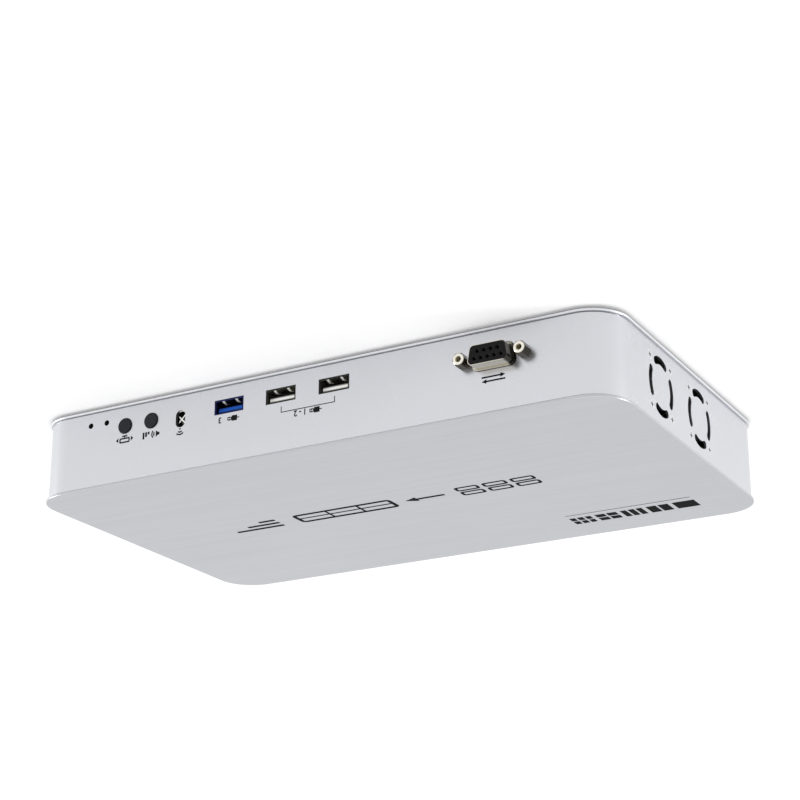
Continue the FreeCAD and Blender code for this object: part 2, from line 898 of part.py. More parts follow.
def serial_jackscrews():
    """Two hexagons, each with its outer corners turned off to a crown, on a stud."""
    screws = []
    corner = jackscrew_flats / math.sqrt(3) + HAIR
    for side in (-1, 1):
        x = side * jackscrew_pitch / 2
        barrel = hex_rod(jackscrew_flats, jackscrew_reach, x, -jackscrew_reach, serial_height)
        crown = Part.makeCone(jackscrew_face_radius, corner, jackscrew_crown,
                              vec(x, -jackscrew_reach, serial_height), Y_AXIS)
        barrel = barrel.common(crown.fuse(rod(corner, jackscrew_reach - jackscrew_crown, x,
                                              jackscrew_crown - jackscrew_reach,
                                              serial_height, Y_AXIS)))
        stud = rod(jackscrew_stud_radius, jackscrew_stud_length, x, 0, serial_height, Y_AXIS)
        bore = rod(jackscrew_bore, jackscrew_bore_depth, x, -jackscrew_reach,
                   serial_height, Y_AXIS)
        screws.append(barrel.fuse(stud).cut(bore))
    return screws


def serial_nuts():
    nuts = []
    start = band_wall + serial_flange_thick
    for side in (-1, 1):
        x = side * jackscrew_pitch / 2
        nut = hex_rod(jackscrew_nut_flats, jackscrew_nut_thick, x, start, serial_height)
        nuts.append(nut.cut(rod(jackscrew_stud_radius + thread_clearance,
                                jackscrew_nut_thick, x, start, serial_height, Y_AXIS)))
    return nuts


# Power inlet

def inlet_body():
    """A black block whose face fills its cut-out, a little lower than the board's top."""
    outline = inset(rectangle(inlet_width, inlet_tall, inlet_height), inlet_fit)
    face = prism_y(outline, 0, band_wall)
    top = inlet_height + inlet_tall / 2 - inlet_fit
    half = inlet_width / 2 - inlet_fit
    body = face.fuse(block(-half, half, band_wall, inlet_depth, 0, top))
    bore = rod(inlet_bore, inlet_bore_depth, 0, 0, inlet_height + inlet_bore_lift, Y_AXIS)
    return body.cut(bore).removeSplitter()


def inlet_pin():
    length = inlet_bore_depth - inlet_pin_recess
    z = inlet_height + inlet_bore_lift
    pin = rod(inlet_pin_radius, length, 0, inlet_pin_recess, z, Y_AXIS)
    tip = [edge for edge in pin.Edges if edge.BoundBox.YMax < inlet_pin_recess + HAIR]
    return pin.makeFillet(inlet_pin_round, tip)


# Rocker switch

def switch_housing():
    bezel = prism_y(rectangle(bezel_width, bezel_tall, switch_height), -bezel_thick, 0)
    front_edges = [edge for edge in bezel.Edges
                   if edge.BoundBox.YMax < -bezel_thick + HAIR]
    bezel = bezel.makeFillet(bezel_edge_round, front_edges)
    body = prism_y(rectangle(switch_body_width, switch_body_tall, switch_height),
                   0, switch_body_depth)
    floor = switch_body_depth - switch_body_floor
    well = block(-well_width / 2, well_width / 2, -bezel_thick - THROUGH, floor,
                 switch_height - well_reach, switch_height + well_reach)
    pivot = rod(trunnion_radius + trunnion_clearance, well_width + 2 * trunnion_length,
                -well_width / 2 - trunnion_length, pivot_y, switch_height, X_AXIS)
    return bezel.fuse(body).cut([well, pivot]).removeSplitter()


def power_rocker():
    """The rocker in its on position: upper half pressed in, lower half standing out."""
    rise = rocker_reach * math.tan(math.radians(rocker_tilt))
    crest = -rocker_pivot_depth
    points = [(rocker_tail, -rocker_reach), (crest - rise, -rocker_reach), (crest, 0.0),
              (crest - rise, rocker_reach), (rocker_tail, rocker_reach)]
    corners = [vec(-rocker_half_width, y, z) for y, z in points]
    outline = Part.Face(Part.makePolygon(corners + corners[:1]))
    body = outline.extrude(vec(2 * rocker_half_width, 0, 0))
    body = body.common(rod(rocker_reach, 2 * rocker_half_width, -rocker_half_width, 0, 0, X_AXIS))
    pin_half = well_width / 2 + trunnion_length - trunnion_end_gap
    body = body.fuse(rod(trunnion_radius, 2 * pin_half, -pin_half, 0, 0, X_AXIS))
    return moved(turned(body, -rocker_tilt, X_AXIS), 0, pivot_y, switch_height)


def switch_terminals():
    blades = []
    for side in (-1, 1):
        z = switch_height + side * terminal_spacing / 2
        blades.append(block(-terminal_width / 2, terminal_width / 2, switch_body_depth,
                            switch_body_depth + terminal_length,
                            z - terminal_thick / 2, z + terminal_thick / 2))
    return blades


def bent_lead(radius, bend, start, stub, down_to, towards):
    """A round lead that runs level for a stub, bends down and ends on a surface."""
    level = vec(towards.x, towards.y, 0)
    corner = start + level * stub
    centre = corner + vec(0, 0, -bend)
    middle = centre + (level + Z_AXIS) * (bend * math.sqrt(0.5))
    low = centre + level * bend
    end = vec(low.x, low.y, down_to)
    path = Part.Wire([Part.LineSegment(start, corner).toShape(),
                      Part.Arc(corner, middle, low).toShape(),
                      Part.LineSegment(low, end).toShape()])
    ring = Part.Wire([Part.makeCircle(radius, start, level)])
    return path.makePipeShell([ring], True, False)


def switch_leads():
    leads = []
    for side in (-1, 1):
        start = vec(0, switch_body_depth + terminal_length,
                    switch_height + side * terminal_spacing / 2)
        stub = switch_lead_stub + (terminal_spacing / 2 if side > 0 else 0.0)
        leads.append(bent_lead(switch_lead_radius, switch_lead_bend, start, stub, 0.0, Y_AXIS))
    return leads


# Push buttons

def button_cap():
    """A round cap with a flange that keeps it behind the wall, and a short stem."""
    length = button_reach + button_flange_y
    cap = rod(button_radius, length, 0, -button_reach, button_height, Y_AXIS)
    face = [edge for edge in cap.Edges if edge.BoundBox.YMax < -button_reach + HAIR]
    cap = cap.makeFillet(button_edge_round, face)
    flange = rod(button_flange_radius, button_flange_thick, 0, button_flange_y,
                 button_height, Y_AXIS)
    stem = rod(button_stem_radius, button_stem_length, 0, button_stem_y, button_height, Y_AXIS)
    return cap.fuse([flange, stem]).removeSplitter()


def button_plunger():
    start = button_stem_y + button_stem_length
    return rod(plunger_radius, plunger_length, 0, start, button_height, Y_AXIS)


def push_switch():
    stem_end = button_stem_y + button_stem_length
    face = stem_end + button_travel + plunger_show
    body = block(-push_switch_width / 2, push_switch_width / 2, face,
                 face + push_switch_depth, 0, push_switch_height)
    bore_end = stem_end + plunger_length + button_travel + plunger_clearance
    bore = rod(plunger_radius + plunger_clearance, bore_end - face + THROUGH, 0,
               face - THROUGH, button_height, Y_AXIS)
    return body.cut(bore)


# Infrared receiver

def eye_receiver():
    """A dark block whose low dome, a cap of a sphere, looks forwards."""
    half = eye_body_width / 2
    body = block(-half, half, eye_face_y, eye_face_y + eye_body_depth, 0, eye_body_height)
    sphere_radius = (eye_dome_radius ** 2 + eye_dome_rise ** 2) / (2 * eye_dome_rise)
    centre_y = eye_face_y - eye_dome_rise + sphere_radius
    dome = Part.makeSphere(sphere_radius, vec(0, centre_y, eye_height))
    front = block(-half, half, eye_face_y - eye_dome_rise, eye_face_y, 0, eye_body_height)
    return body.fuse(dome.common(front)).removeSplitter()


def eye_shield():
    """A thin metal can round the receiver, open below. Two bars cross its window, which is
    narrower than the wall's slot by a margin."""
    gap, wall = eye_shield_gap, eye_shield_wall
    half = eye_body_width / 2 + gap
    start = band_wall
    end = eye_face_y + eye_body_depth + gap + wall
    can = block(-half - wall, half + wall, start, end, 0, eye_body_height + gap + wall)
    hollow = block(-half, half, start + wall, end - wall, -THROUGH, eye_body_height + gap)
    window = eye_slot(-eye_window_margin)
    window.translate(vec(0, start, 0))
    bar_half = eye_slot_width / 2 * math.sqrt(2)
    bar = block(-bar_half, bar_half, start, start + wall,
                eye_height - eye_bar_width / 2, eye_height + eye_bar_width / 2)
    bars = [turned(bar, angle, Y_AXIS, 0, 0, eye_height) for angle in (45, 135)]
    return can.cut([hollow, window]).fuse(bars).removeSplitter()


# Status lights

def status_light():
    start = board_edge_y
    half = light_body_width / 2
    body = block(-half, half, start, start + light_body_depth, 0, light_body_height)
    lens = Part.makeSphere(light_dome_radius, vec(0, start, light_height))
    return body.fuse(lens).removeSplitter()


def status_lights():
    lights = [at_front(status_light(), x) for x in front_light_xs]
    return lights + [at_rear(status_light(), x) for x in rear_light_xs]


# Fans: made with the wall at x zero and the fan on the minus side

def at_side(shape, side, y):
    """Place a fan piece behind the right wall, or turned round behind the left one."""
    if side < 0:
        shape = turned(shape, 180, Z_AXIS)
    return moved(shape, side * inner_x, y, fan_z)


def fan_frame():
    half = fan_side / 2
    frame = block(-fan_thick, 0, -half, half, -half, half)
    frame = frame.makeFillet(fan_corner, along(frame, X_AXIS))
    frame = frame.cut(rod(fan_bore, fan_thick, -fan_thick, 0, 0, X_AXIS))
    hole = fan_screw_radius + thread_clearance
    frame = frame.cut([rod(hole, fan_thick, -fan_thick, y, z, X_AXIS)
                       for y, z in fan_hole_spots()])
    mount = rod(fan_plate_radius, fan_plate_thick, -fan_thick, 0, 0, X_AXIS)
    tube_length = fan_thick - fan_tube_end
    mount = mount.fuse(rod(fan_tube_radius, tube_length, -fan_thick, 0, 0, X_AXIS))
    struts = []
    for i in range(fan_strut_count):
        strut = block(-fan_thick, -fan_thick + fan_plate_thick, fan_plate_radius - fan_join,
                      fan_bore + fan_join, -fan_strut_width / 2, fan_strut_width / 2)
        struts.append(turned(strut, 90 + 360 / fan_strut_count * i, X_AXIS))
    bearing = rod(shaft_radius + shaft_clearance, tube_length - fan_bearing_floor,
                  -fan_thick + fan_bearing_floor, 0, 0, X_AXIS)
    return frame.fuse([mount] + struts).cut(bearing).removeSplitter()


def fan_stator():
    start = -fan_thick + fan_plate_thick
    end = -fan_tube_end - fan_stator_gap
    ring = rod(fan_stator_radius, end - start, start, 0, 0, X_AXIS)
    return ring.cut(rod(fan_tube_radius + thread_clearance, end - start, start, 0, 0, X_AXIS))


def fan_rotor():
    front = -rotor_end_gap
    back = -fan_thick + fan_plate_thick + fan_stator_gap
    hub = rod(rotor_hub_radius, front - back, back, 0, 0, X_AXIS)
    cap_back = front - rotor_cup_wall
    hub = hub.cut(rod(rotor_hub_radius - rotor_cup_wall, cap_back - back, back, 0, 0, X_AXIS))
    shaft_back = -fan_thick + fan_plate_thick
    shaft = rod(shaft_radius, cap_back - shaft_back, shaft_back, 0, 0, X_AXIS)
    middle = (front + back) / 2
    half_chord = rotor_blade_chord / 2
    blade = block(-rotor_blade_thick / 2, rotor_blade_thick / 2, -half_chord, half_chord,
                  rotor_hub_radius - rotor_cup_wall / 2, rotor_tip_radius + THROUGH)
    blade = moved(turned(blade, rotor_blade_pitch, Z_AXIS), middle, 0, 0)
    sweep = rod(rotor_tip_radius, front - back, back, 0, 0, X_AXIS)
    sweep = sweep.cut(rod(rotor_hub_radius - rotor_cup_wall / 2, front - back,
                          back, 0, 0, X_AXIS))
    blade = blade.common(sweep)
    blades = [turned(blade, 360 / rotor_blade_count * i, X_AXIS)
              for i in range(rotor_blade_count)]
    return hub.fuse([shaft] + blades).removeSplitter()


def fan_screws():
    screws = []
    for side, fan_y in fan_places:
        inwards = X_AXIS * -side
        outside = side * band_length / 2
        for y, z in fan_hole_spots():
            spot = vec(outside, fan_y + y, fan_z + z)
            head = Part.makeCone(fan_screw_head_radius, fan_screw_radius,
                                 fan_screw_head_depth, spot, inwards)
            shank = Part.makeCylinder(fan_screw_radius, fan_screw_length, spot, inwards)
            cross = cross_cut(spot.x, spot.y, spot.z, inwards)
            screws.append(head.fuse(shank).cut(cross))
    return screws


def fan_headers():
    headers = []
    reach = fan_thick + fan_lead_stub + fan_lead_bend
    for side, fan_y in fan_places:
        x = side * (inner_x - reach)
        y = fan_y + side * fan_lead_side
        headers.append(block(x - header_width / 2, x + header_width / 2,
                             y - header_length / 2, y + header_length / 2,
                             board_top, board_top + header_height))
    return headers


def fan_leads():
    leads = []
    for side, fan_y in fan_places:
        start = vec(side * (inner_x - fan_thick), fan_y + side * fan_lead_side,
                    fan_z - fan_lead_drop)
        leads.append(bent_lead(fan_lead_radius, fan_lead_bend, start, fan_lead_stub,
                               board_top + header_height, X_AXIS * -side))
    return leads


def build():
    os.makedirs("parts", exist_ok=True)
    save("top_cover", top_cover())
    save("wall_band", wall_band())
    save("base_plate", base_plate())
    save("rubber_feet", rubber_feet())
    save("cover_pillars", cover_pillars())
    save("case_screws", case_screws())
    save("main_board", main_board())
    save("board_standoffs", board_standoffs())
    save("board_screws", board_screws())
    save("video_processor", video_processor())
    save("heat_sink", heat_sink())
    save("board_chips", board_chips())
    save("capacitors", capacitors())
    for number, x in enumerate(video_in_xs, 1):
        save("video_in_shell_%d" % number, at_rear(video_shell(), x))
    save("video_out_shell", at_rear(video_shell(), video_out_x))
    save("video_tongues", [at_rear(video_tongue(), x) for x in video_in_xs + [video_out_x]])
    save("lan_shield", at_rear(lan_shield(), lan_x))
    save("lan_housing", at_rear(lan_housing(), lan_x))
    save("lan_light_green", at_rear(lan_corner_light(1), lan_x))
    save("lan_light_amber", at_rear(lan_corner_light(-1), lan_x))
    for name, x in zip(("usb_shell_left", "usb_shell_middle", "usb_shell_right"), usb_xs):
        save(name, at_front(usb_shell(), x))
    save("usb_tongues_white", [at_front(usb_tongue(), x) for x in usb_xs[:2]])
    save("usb_tongue_blue", at_front(usb_tongue(), usb_xs[2]))
    save("serial_shell", at_front(serial_shell(), serial_x))
    save("serial_insulator", at_front(serial_insulator(), serial_x))
    save("serial_jackscrews", [at_front(piece, serial_x) for piece in serial_jackscrews()])
    save("serial_nuts", [at_front(piece, serial_x) for piece in serial_nuts()])
    save("inlet_body", at_rear(inlet_body(), inlet_x))
    save("inlet_pin", at_rear(inlet_pin(), inlet_x))
    save("switch_housing", at_rear(switch_housing(), switch_x))
    save("power_rocker", at_rear(power_rocker(), switch_x))
    save("switch_terminals", [at_rear(piece, switch_x) for piece in switch_terminals()])
    save("switch_leads", [at_rear(piece, switch_x) for piece in switch_leads()])
    for name, x in zip(("video", "audio"), button_xs):
        save(name + "_button", at_front(button_cap(), x))
        save(name + "_plunger", at_front(button_plunger(), x))
    save("push_switches", [at_front(push_switch(), x) for x in button_xs])
    save("eye_receiver", at_front(eye_receiver(), eye_x))
    save("eye_shield", at_front(eye_shield(), eye_x))
    save("status_lights", status_lights())
    for number, (side, y) in enumerate(fan_places, 1):
        save("fan_frame_%d" % number, at_side(fan_frame(), side, y))
        save("fan_rotor_%d" % number, at_side(fan_rotor(), side, y))
    save("fan_stators", [at_side(fan_stator(), side, y) for side, y in fan_places])
    save("fan_screws", fan_screws())
    save("fan_headers", fan_headers())
    save("fan_leads", fan_leads())


build()
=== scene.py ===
import bmesh
import bpy
import json
import math
import numpy as np
from mathutils import Matrix, Vector


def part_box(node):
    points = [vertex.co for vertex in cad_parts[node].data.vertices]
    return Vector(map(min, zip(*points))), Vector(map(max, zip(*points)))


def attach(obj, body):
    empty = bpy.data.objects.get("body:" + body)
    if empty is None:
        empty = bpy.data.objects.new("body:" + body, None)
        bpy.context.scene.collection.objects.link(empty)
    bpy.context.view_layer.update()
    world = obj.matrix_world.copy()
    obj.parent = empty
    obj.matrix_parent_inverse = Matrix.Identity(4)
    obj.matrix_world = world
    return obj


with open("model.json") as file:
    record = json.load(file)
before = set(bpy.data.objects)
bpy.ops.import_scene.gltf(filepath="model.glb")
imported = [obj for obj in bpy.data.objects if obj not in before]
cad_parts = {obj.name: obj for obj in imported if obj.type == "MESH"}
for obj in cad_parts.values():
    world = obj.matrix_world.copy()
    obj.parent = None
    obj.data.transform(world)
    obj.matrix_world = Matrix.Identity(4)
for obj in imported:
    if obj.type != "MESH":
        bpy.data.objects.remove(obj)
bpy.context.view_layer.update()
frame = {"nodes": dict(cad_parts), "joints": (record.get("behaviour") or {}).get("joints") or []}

# The picture: a camera 0.84 m away, a little above the case and left of its front. The
# photograph is printed upside down, so the camera is rolled by half a turn.
camera_place = Vector((-0.38232, -0.68328, 0.28531))
camera_aim = Vector((0.456516, 0.816349, -0.353791))
camera_up = Vector((-0.171676, -0.309349, -0.935323))
camera_right = camera_aim.cross(camera_up).normalized()
camera_turn = Matrix((camera_right, camera_up, -camera_aim)).transposed()
camera = bpy.data.objects.new("camera", bpy.data.cameras.new("camera"))
camera.data.lens, camera.data.sensor_width = 88.2, 36.0
camera.matrix_world = Matrix.Translation(camera_place) @ camera_turn.to_4x4()
bpy.context.scene.collection.objects.link(camera)
bpy.context.scene.camera = camera
bpy.context.scene.view_settings.view_transform = "Standard"

# The studio: a white sweep lit evenly all round, a wide soft box overhead and a low one far
# out at each end. Rays from the camera, off metal or through plastic find it plain white.
studio_light, plain_white = 0.76, 1.0


def combined(tree, operation, first, second=0.0):
    """Two values, each a number or a socket, put together by one operation."""
    node = tree.nodes.new("ShaderNodeMath")
    node.operation = operation
    for socket, value in zip(node.inputs, (first, second)):
        if isinstance(value, (int, float)):
            socket.default_value = value
        else:
            tree.links.new(value, socket)
    return node.outputs[0]


def looked_at(tree):
    """One for a ray from the camera, off metal or through plastic, nought for any other."""
    ray = tree.nodes.new("ShaderNodeLightPath").outputs
    seen = combined(tree, "MAXIMUM", ray["Is Camera Ray"], ray["Is Glossy Ray"])
    return combined(tree, "MAXIMUM", seen, ray["Is Transmission Ray"])


world = bpy.data.worlds.new("studio")
world.use_nodes = True
bpy.context.scene.world = world
sky = world.node_tree.nodes["Background"]
sky.inputs["Color"].default_value = (1, 1, 1, 1)
sky_level = world.node_tree.nodes.new("ShaderNodeMapRange")
sky_level.inputs["To Min"].default_value = studio_light
sky_level.inputs["To Max"].default_value = plain_white
world.node_tree.links.new(looked_at(world.node_tree), sky_level.inputs["Value"])
world.node_tree.links.new(sky_level.outputs["Result"], sky.inputs["Strength"])


def soft_box(name, place, side, power):
    """A square lamp of a side that faces the middle of the case from a place."""
    lamp = bpy.data.lights.new(name, "AREA")
    lamp.size = side
    lamp.energy = power
    stand = bpy.data.objects.new(name, lamp)
    stand.location = place
    stand.rotation_euler = Vector(place).to_track_quat("Z", "Y").to_euler()
    bpy.context.scene.collection.objects.link(stand)


soft_box("soft_box_overhead", (-0.3, -0.3, 2.6), side=2.2, power=9.0)
soft_box("soft_box_left", (-2.15, 0.80, 0.22), side=0.4, power=42.0)
soft_box("soft_box_right", (2.15, -0.80, 0.22), side=0.4, power=40.0)

# The floor: one pale sheet of paper that the case stands on. The same rays find a little
# light added to it, so that it ends in plain white and still keeps the case's shadow.
floor_half, floor_pale, floor_lift = 6.0, 0.86, 0.24
floor_mesh = bpy.data.meshes.new("floor")
floor_mesh.from_pydata([(-floor_half, -floor_half, 0), (floor_half, -floor_half, 0),
                        (floor_half, floor_half, 0), (-floor_half, floor_half, 0)],
                       [], [(0, 1, 2, 3)])
floor = bpy.data.objects.new("floor", floor_mesh)
bpy.context.scene.collection.objects.link(floor)
floor_finish = bpy.data.materials.new("floor_paper")
floor_finish.use_nodes = True
floor_tree = floor_finish.node_tree
floor_shader = floor_tree.nodes["Principled BSDF"]
floor_shader.inputs["Base Color"].default_value = (floor_pale, floor_pale, floor_pale, 1)
floor_shader.inputs["Roughness"].default_value = 0.9
floor_shader.inputs["Specular IOR Level"].default_value = 0.0
floor_shader.inputs["Emission Color"].default_value = (1, 1, 1, 1)
floor_tree.links.new(combined(floor_tree, "MULTIPLY", looked_at(floor_tree), floor_lift),
                     floor_shader.inputs["Emission Strength"])
floor_mesh.materials.append(floor_finish)


# Top cover, wall band and base plate: sheet aluminium. The cover is brushed along its length,
# its colour painted darker than the band's as a painted reflection, and its edge darker still
# as painted shade. The band is bent from one satin strip, with a painted highlight on its upper
# bevel, and the base plate is of the same satin metal, painted lighter than the band as a
# painted highlight on its edge, over painted shade on its lower corner.
MM = 0.001


def grain_group(name):
    """An empty grain: vector, colour, roughness and pattern sizes in; colour, roughness and
    height out. Returns the tree with its two end nodes."""
    tree = bpy.data.node_groups.new(name, "ShaderNodeTree")
    for socket, kind in (("Vector", "NodeSocketVector"), ("Color", "NodeSocketColor"),
                         ("Roughness", "NodeSocketFloat"), ("Scale", "NodeSocketFloat"),
                         ("Tone", "NodeSocketFloat"), ("Gloss", "NodeSocketFloat")):
        tree.interface.new_socket(socket, in_out="INPUT", socket_type=kind)
    for socket, kind in (("Color", "NodeSocketColor"), ("Roughness", "NodeSocketFloat"),
                         ("Height", "NodeSocketFloat")):
        tree.interface.new_socket(socket, in_out="OUTPUT", socket_type=kind)
    return tree, tree.nodes.new("NodeGroupInput"), tree.nodes.new("NodeGroupOutput")


def noise_in(tree, vector, scale, detail, factor=1.0):
    """A noise field over a vector, its scale the group's own times a factor."""
    noise = tree.nodes.new("ShaderNodeTexNoise")
    noise.inputs["Detail"].default_value = detail
    tree.links.new(combined(tree, "MULTIPLY", scale, factor), noise.inputs["Scale"])
    tree.links.new(vector, noise.inputs["Vector"])
    return noise.outputs["Fac"]


def close_grain(tree, group_in, group_out, fine, cloud, height):
    """Tone times how far the fine field is from its middle lifts or dims the colour, and
    gloss times how far the cloud field is from its middle changes the roughness."""
    field_middle = 0.5
    swing = combined(tree, "MULTIPLY", group_in.outputs["Tone"],
                     combined(tree, "SUBTRACT", fine, field_middle))
    tint = tree.nodes.new("ShaderNodeVectorMath")
    tint.operation = "SCALE"
    tree.links.new(group_in.outputs["Color"], tint.inputs[0])
    tree.links.new(combined(tree, "ADD", swing, 1.0), tint.inputs["Scale"])
    tree.links.new(tint.outputs[0], group_out.inputs["Color"])
    change = combined(tree, "MULTIPLY", group_in.outputs["Gloss"],
                      combined(tree, "SUBTRACT", cloud, field_middle))
    tree.links.new(combined(tree, "ADD", group_in.outputs["Roughness"], change),
                   group_out.inputs["Roughness"])
    tree.links.new(height, group_out.inputs["Height"])
    return tree


def brushed_grain():
    """Fine lines along X: two noise fields whose X is squeezed, one line-sized, one broader,
    six parts to four."""
    tree, group_in, group_out = grain_group("brushed_grain")
    vector, scale = group_in.outputs["Vector"], group_in.outputs["Scale"]
    squeeze = tree.nodes.new("ShaderNodeMapping")
    squeeze.inputs["Scale"].default_value = (0.012, 1.0, 1.0)
    tree.links.new(vector, squeeze.inputs["Vector"])
    lines = noise_in(tree, squeeze.outputs[0], scale, detail=2.0)
    broad = noise_in(tree, squeeze.outputs[0], scale, detail=1.0, factor=0.12)
    cloud = noise_in(tree, vector, scale, detail=3.0, factor=0.008)
    fine = combined(tree, "ADD", combined(tree, "MULTIPLY", lines, 0.6),
                    combined(tree, "MULTIPLY", broad, 0.4))
    return close_grain(tree, group_in, group_out, fine, cloud, lines)


def satin_grain():
    """Blasted and anodised metal: an even speckle, and a soft cloud of handling marks."""
    tree, group_in, group_out = grain_group("satin_grain")
    vector, scale = group_in.outputs["Vector"], group_in.outputs["Scale"]
    speckle = noise_in(tree, vector, scale, detail=2.0)
    cloud = noise_in(tree, vector, scale, detail=3.0, factor=0.01)
    return close_grain(tree, group_in, group_out, speckle, cloud, speckle)


brushed, satin = brushed_grain(), satin_grain()


def finish(name, grain, colour, metal=0.0, rough=0.5, scale=4000.0, tone=0.2, gloss=0.1,
           bump=3e-6, **more):
    """A finish round one grain: its colour, how metallic and rough it is, the grain's size in
    lines per metre, its change of tone and of gloss, and its height in metres."""
    material = bpy.data.materials.new(name)
    material.use_nodes = True
    tree = material.node_tree
    shader = tree.nodes["Principled BSDF"]
    shader.inputs["Metallic"].default_value = metal
    for socket, value in more.items():
        shader.inputs[socket.replace("_", " ")].default_value = value
    pattern = tree.nodes.new("ShaderNodeGroup")
    pattern.node_tree = grain
    for socket, value in (("Color", (*colour, 1)), ("Roughness", rough), ("Scale", scale),
                          ("Tone", tone), ("Gloss", gloss)):
        pattern.inputs[socket].default_value = value
    place = tree.nodes.new("ShaderNodeTexCoord")
    relief = tree.nodes.new("ShaderNodeBump")
    relief.inputs["Distance"].default_value = bump
    tree.links.new(place.outputs["Object"], pattern.inputs["Vector"])
    tree.links.new(pattern.outputs["Color"], shader.inputs["Base Color"])
    tree.links.new(pattern.outputs["Roughness"], shader.inputs["Roughness"])
    tree.links.new(pattern.outputs["Height"], relief.inputs["Height"])
    tree.links.new(relief.outputs["Normal"], shader.inputs["Normal"])
    return material


def painted_light_fade():
    """A colour that turns into a second one with the distance along an axis from the middle
    of the case: nothing of the second one up to Start, all of it from End on. The script uses it
    only to paint light and shade into colours."""
    tree = bpy.data.node_groups.new("painted_light_fade", "ShaderNodeTree")
    for socket, kind in (("Vector", "NodeSocketVector"), ("Axis", "NodeSocketVector"),
                         ("Start", "NodeSocketFloat"), ("End", "NodeSocketFloat"),
                         ("Color", "NodeSocketColor"), ("Far Color", "NodeSocketColor")):
        tree.interface.new_socket(socket, in_out="INPUT", socket_type=kind)
    tree.interface.new_socket("Color", in_out="OUTPUT", socket_type="NodeSocketColor")
    group_in, group_out = tree.nodes.new("NodeGroupInput"), tree.nodes.new("NodeGroupOutput")
    reach = tree.nodes.new("ShaderNodeVectorMath")
    reach.operation = "DOT_PRODUCT"
    spread = tree.nodes.new("ShaderNodeMapRange")
    blend = tree.nodes.new("ShaderNodeMix")
    blend.data_type = "RGBA"
    share, near_colour, far_colour = blend.inputs[0], blend.inputs[6], blend.inputs[7]
    mixed_colour = blend.outputs[2]
    tree.links.new(group_in.outputs["Vector"], reach.inputs[0])
    tree.links.new(group_in.outputs["Axis"], reach.inputs[1])
    tree.links.new(combined(tree, "ABSOLUTE", reach.outputs["Value"]), spread.inputs["Value"])
    tree.links.new(group_in.outputs["Start"], spread.inputs["From Min"])
    tree.links.new(group_in.outputs["End"], spread.inputs["From Max"])
    tree.links.new(spread.outputs["Result"], share)
    tree.links.new(group_in.outputs["Color"], near_colour)
    tree.links.new(group_in.outputs["Far Color"], far_colour)
    tree.links.new(mixed_colour, group_out.inputs["Color"])
    return tree


fade = painted_light_fade()


def with_painted_light(material, axis, start, end, far):
    """Gives a finish a second colour that takes over between two distances, in millimetres
    along an axis from the middle of the case's foot. With the end before the start it takes
    over on the near side. Every second colour given this way is painted light or shade."""
    tree = material.node_tree
    shader = tree.nodes["Principled BSDF"]
    near = shader.inputs["Base Color"].links[0].from_socket
    mix = tree.nodes.new("ShaderNodeGroup")
    mix.node_tree = fade
    mix.inputs["Axis"].default_value = axis
    mix.inputs["Start"].default_value = start * MM
    mix.inputs["End"].default_value = end * MM
    mix.inputs["Far Color"].default_value = (*far, 1)
    place = next(node for node in tree.nodes if node.type == "TEX_COORD")
    tree.links.new(place.outputs["Object"], mix.inputs["Vector"])
    tree.links.new(near, mix.inputs["Color"])
    tree.links.new(mix.outputs["Color"], shader.inputs["Base Color"])
    return material


def dress(material, *names):
    """Gives CAD nodes a finish in place of the plain one they come with."""
    for name in names:
        slots = frame["nodes"][name].data.materials
        slots.clear()
        slots.append(material)


upwards, sideways, frontways = (0, 0, 1), (1, 0, 0), (0, 1, 0)
cover_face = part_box("top_cover")[1].z / MM
band_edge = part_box("wall_band")[1].z / MM
base_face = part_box("base_plate")[0].z / MM
# Painted reflection and shade: the cover is painted darker than the band, its edge darker still.
cover_finish = with_painted_light(
    finish("brushed_cover_aluminium", brushed, (0.520, 0.526, 0.556), metal=1.0, rough=0.34,
           scale=2600, tone=0.22, gloss=0.12, bump=8e-6),
    upwards, cover_face - 0.10, cover_face - 0.30, (0.470, 0.477, 0.500))
# Painted highlight: the band's upper bevel is painted much lighter than the rest of it.
band_finish = with_painted_light(
    finish("satin_band_aluminium", satin, (0.602, 0.610, 0.639), metal=1.0, rough=0.28,
           scale=2200, tone=0.04),
    upwards, band_edge - 0.45, band_edge - 0.25, (0.800, 0.810, 0.840))
# Painted highlight and shade: the plate is painted lighter for a bright edge, its lowest part
# dark.
base_finish = with_painted_light(
    finish("satin_base_aluminium", satin, (0.680, 0.686, 0.710), metal=1.0, rough=0.38,
           scale=2000, tone=0.05, gloss=0.12, bump=4e-6),
    upwards, base_face + 0.55, base_face + 0.35, (0.240, 0.243, 0.260))
dress(cover_finish, "top_cover")
dress(band_finish, "wall_band")
dress(base_finish, "base_plate")


# Feet and screws: four moulded rubber discs under the base, with flat-head screws beside them
# that hold the case together. Round each vent four small plated screws hold a fan, and below
# the outer face of their heads they are painted dark, as painted shade in their cross recesses.
def pebbled_grain():
    """Moulded plastic: round pebbles from a cell field, and a little flow cloud."""
    tree, group_in, group_out = grain_group("pebbled_grain")
    vector, scale = group_in.outputs["Vector"], group_in.outputs["Scale"]
    cells = tree.nodes.new("ShaderNodeTexVoronoi")
    cells.feature = "SMOOTH_F1"
    cells.inputs["Smoothness"].default_value = 0.7
    tree.links.new(vector, cells.inputs["Vector"])
    tree.links.new(scale, cells.inputs["Scale"])
    cloud = noise_in(tree, vector, scale, detail=3.0, factor=0.05)
    return close_grain(tree, group_in, group_out, cloud, cloud, cells.outputs["Distance"])


pebbled = pebbled_grain()
rubber_finish = finish("foot_rubber", pebbled, (0.022, 0.022, 0.024), rough=0.75, scale=3000,
                       gloss=0.15, bump=2e-5, Specular_IOR_Level=0.25)
screw_finish = finish("plated_screw", satin, (0.600, 0.605, 0.620), metal=1.0, rough=0.34,
                      scale=6000, tone=0.08)
wall_face = -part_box("wall_band")[0].x / MM
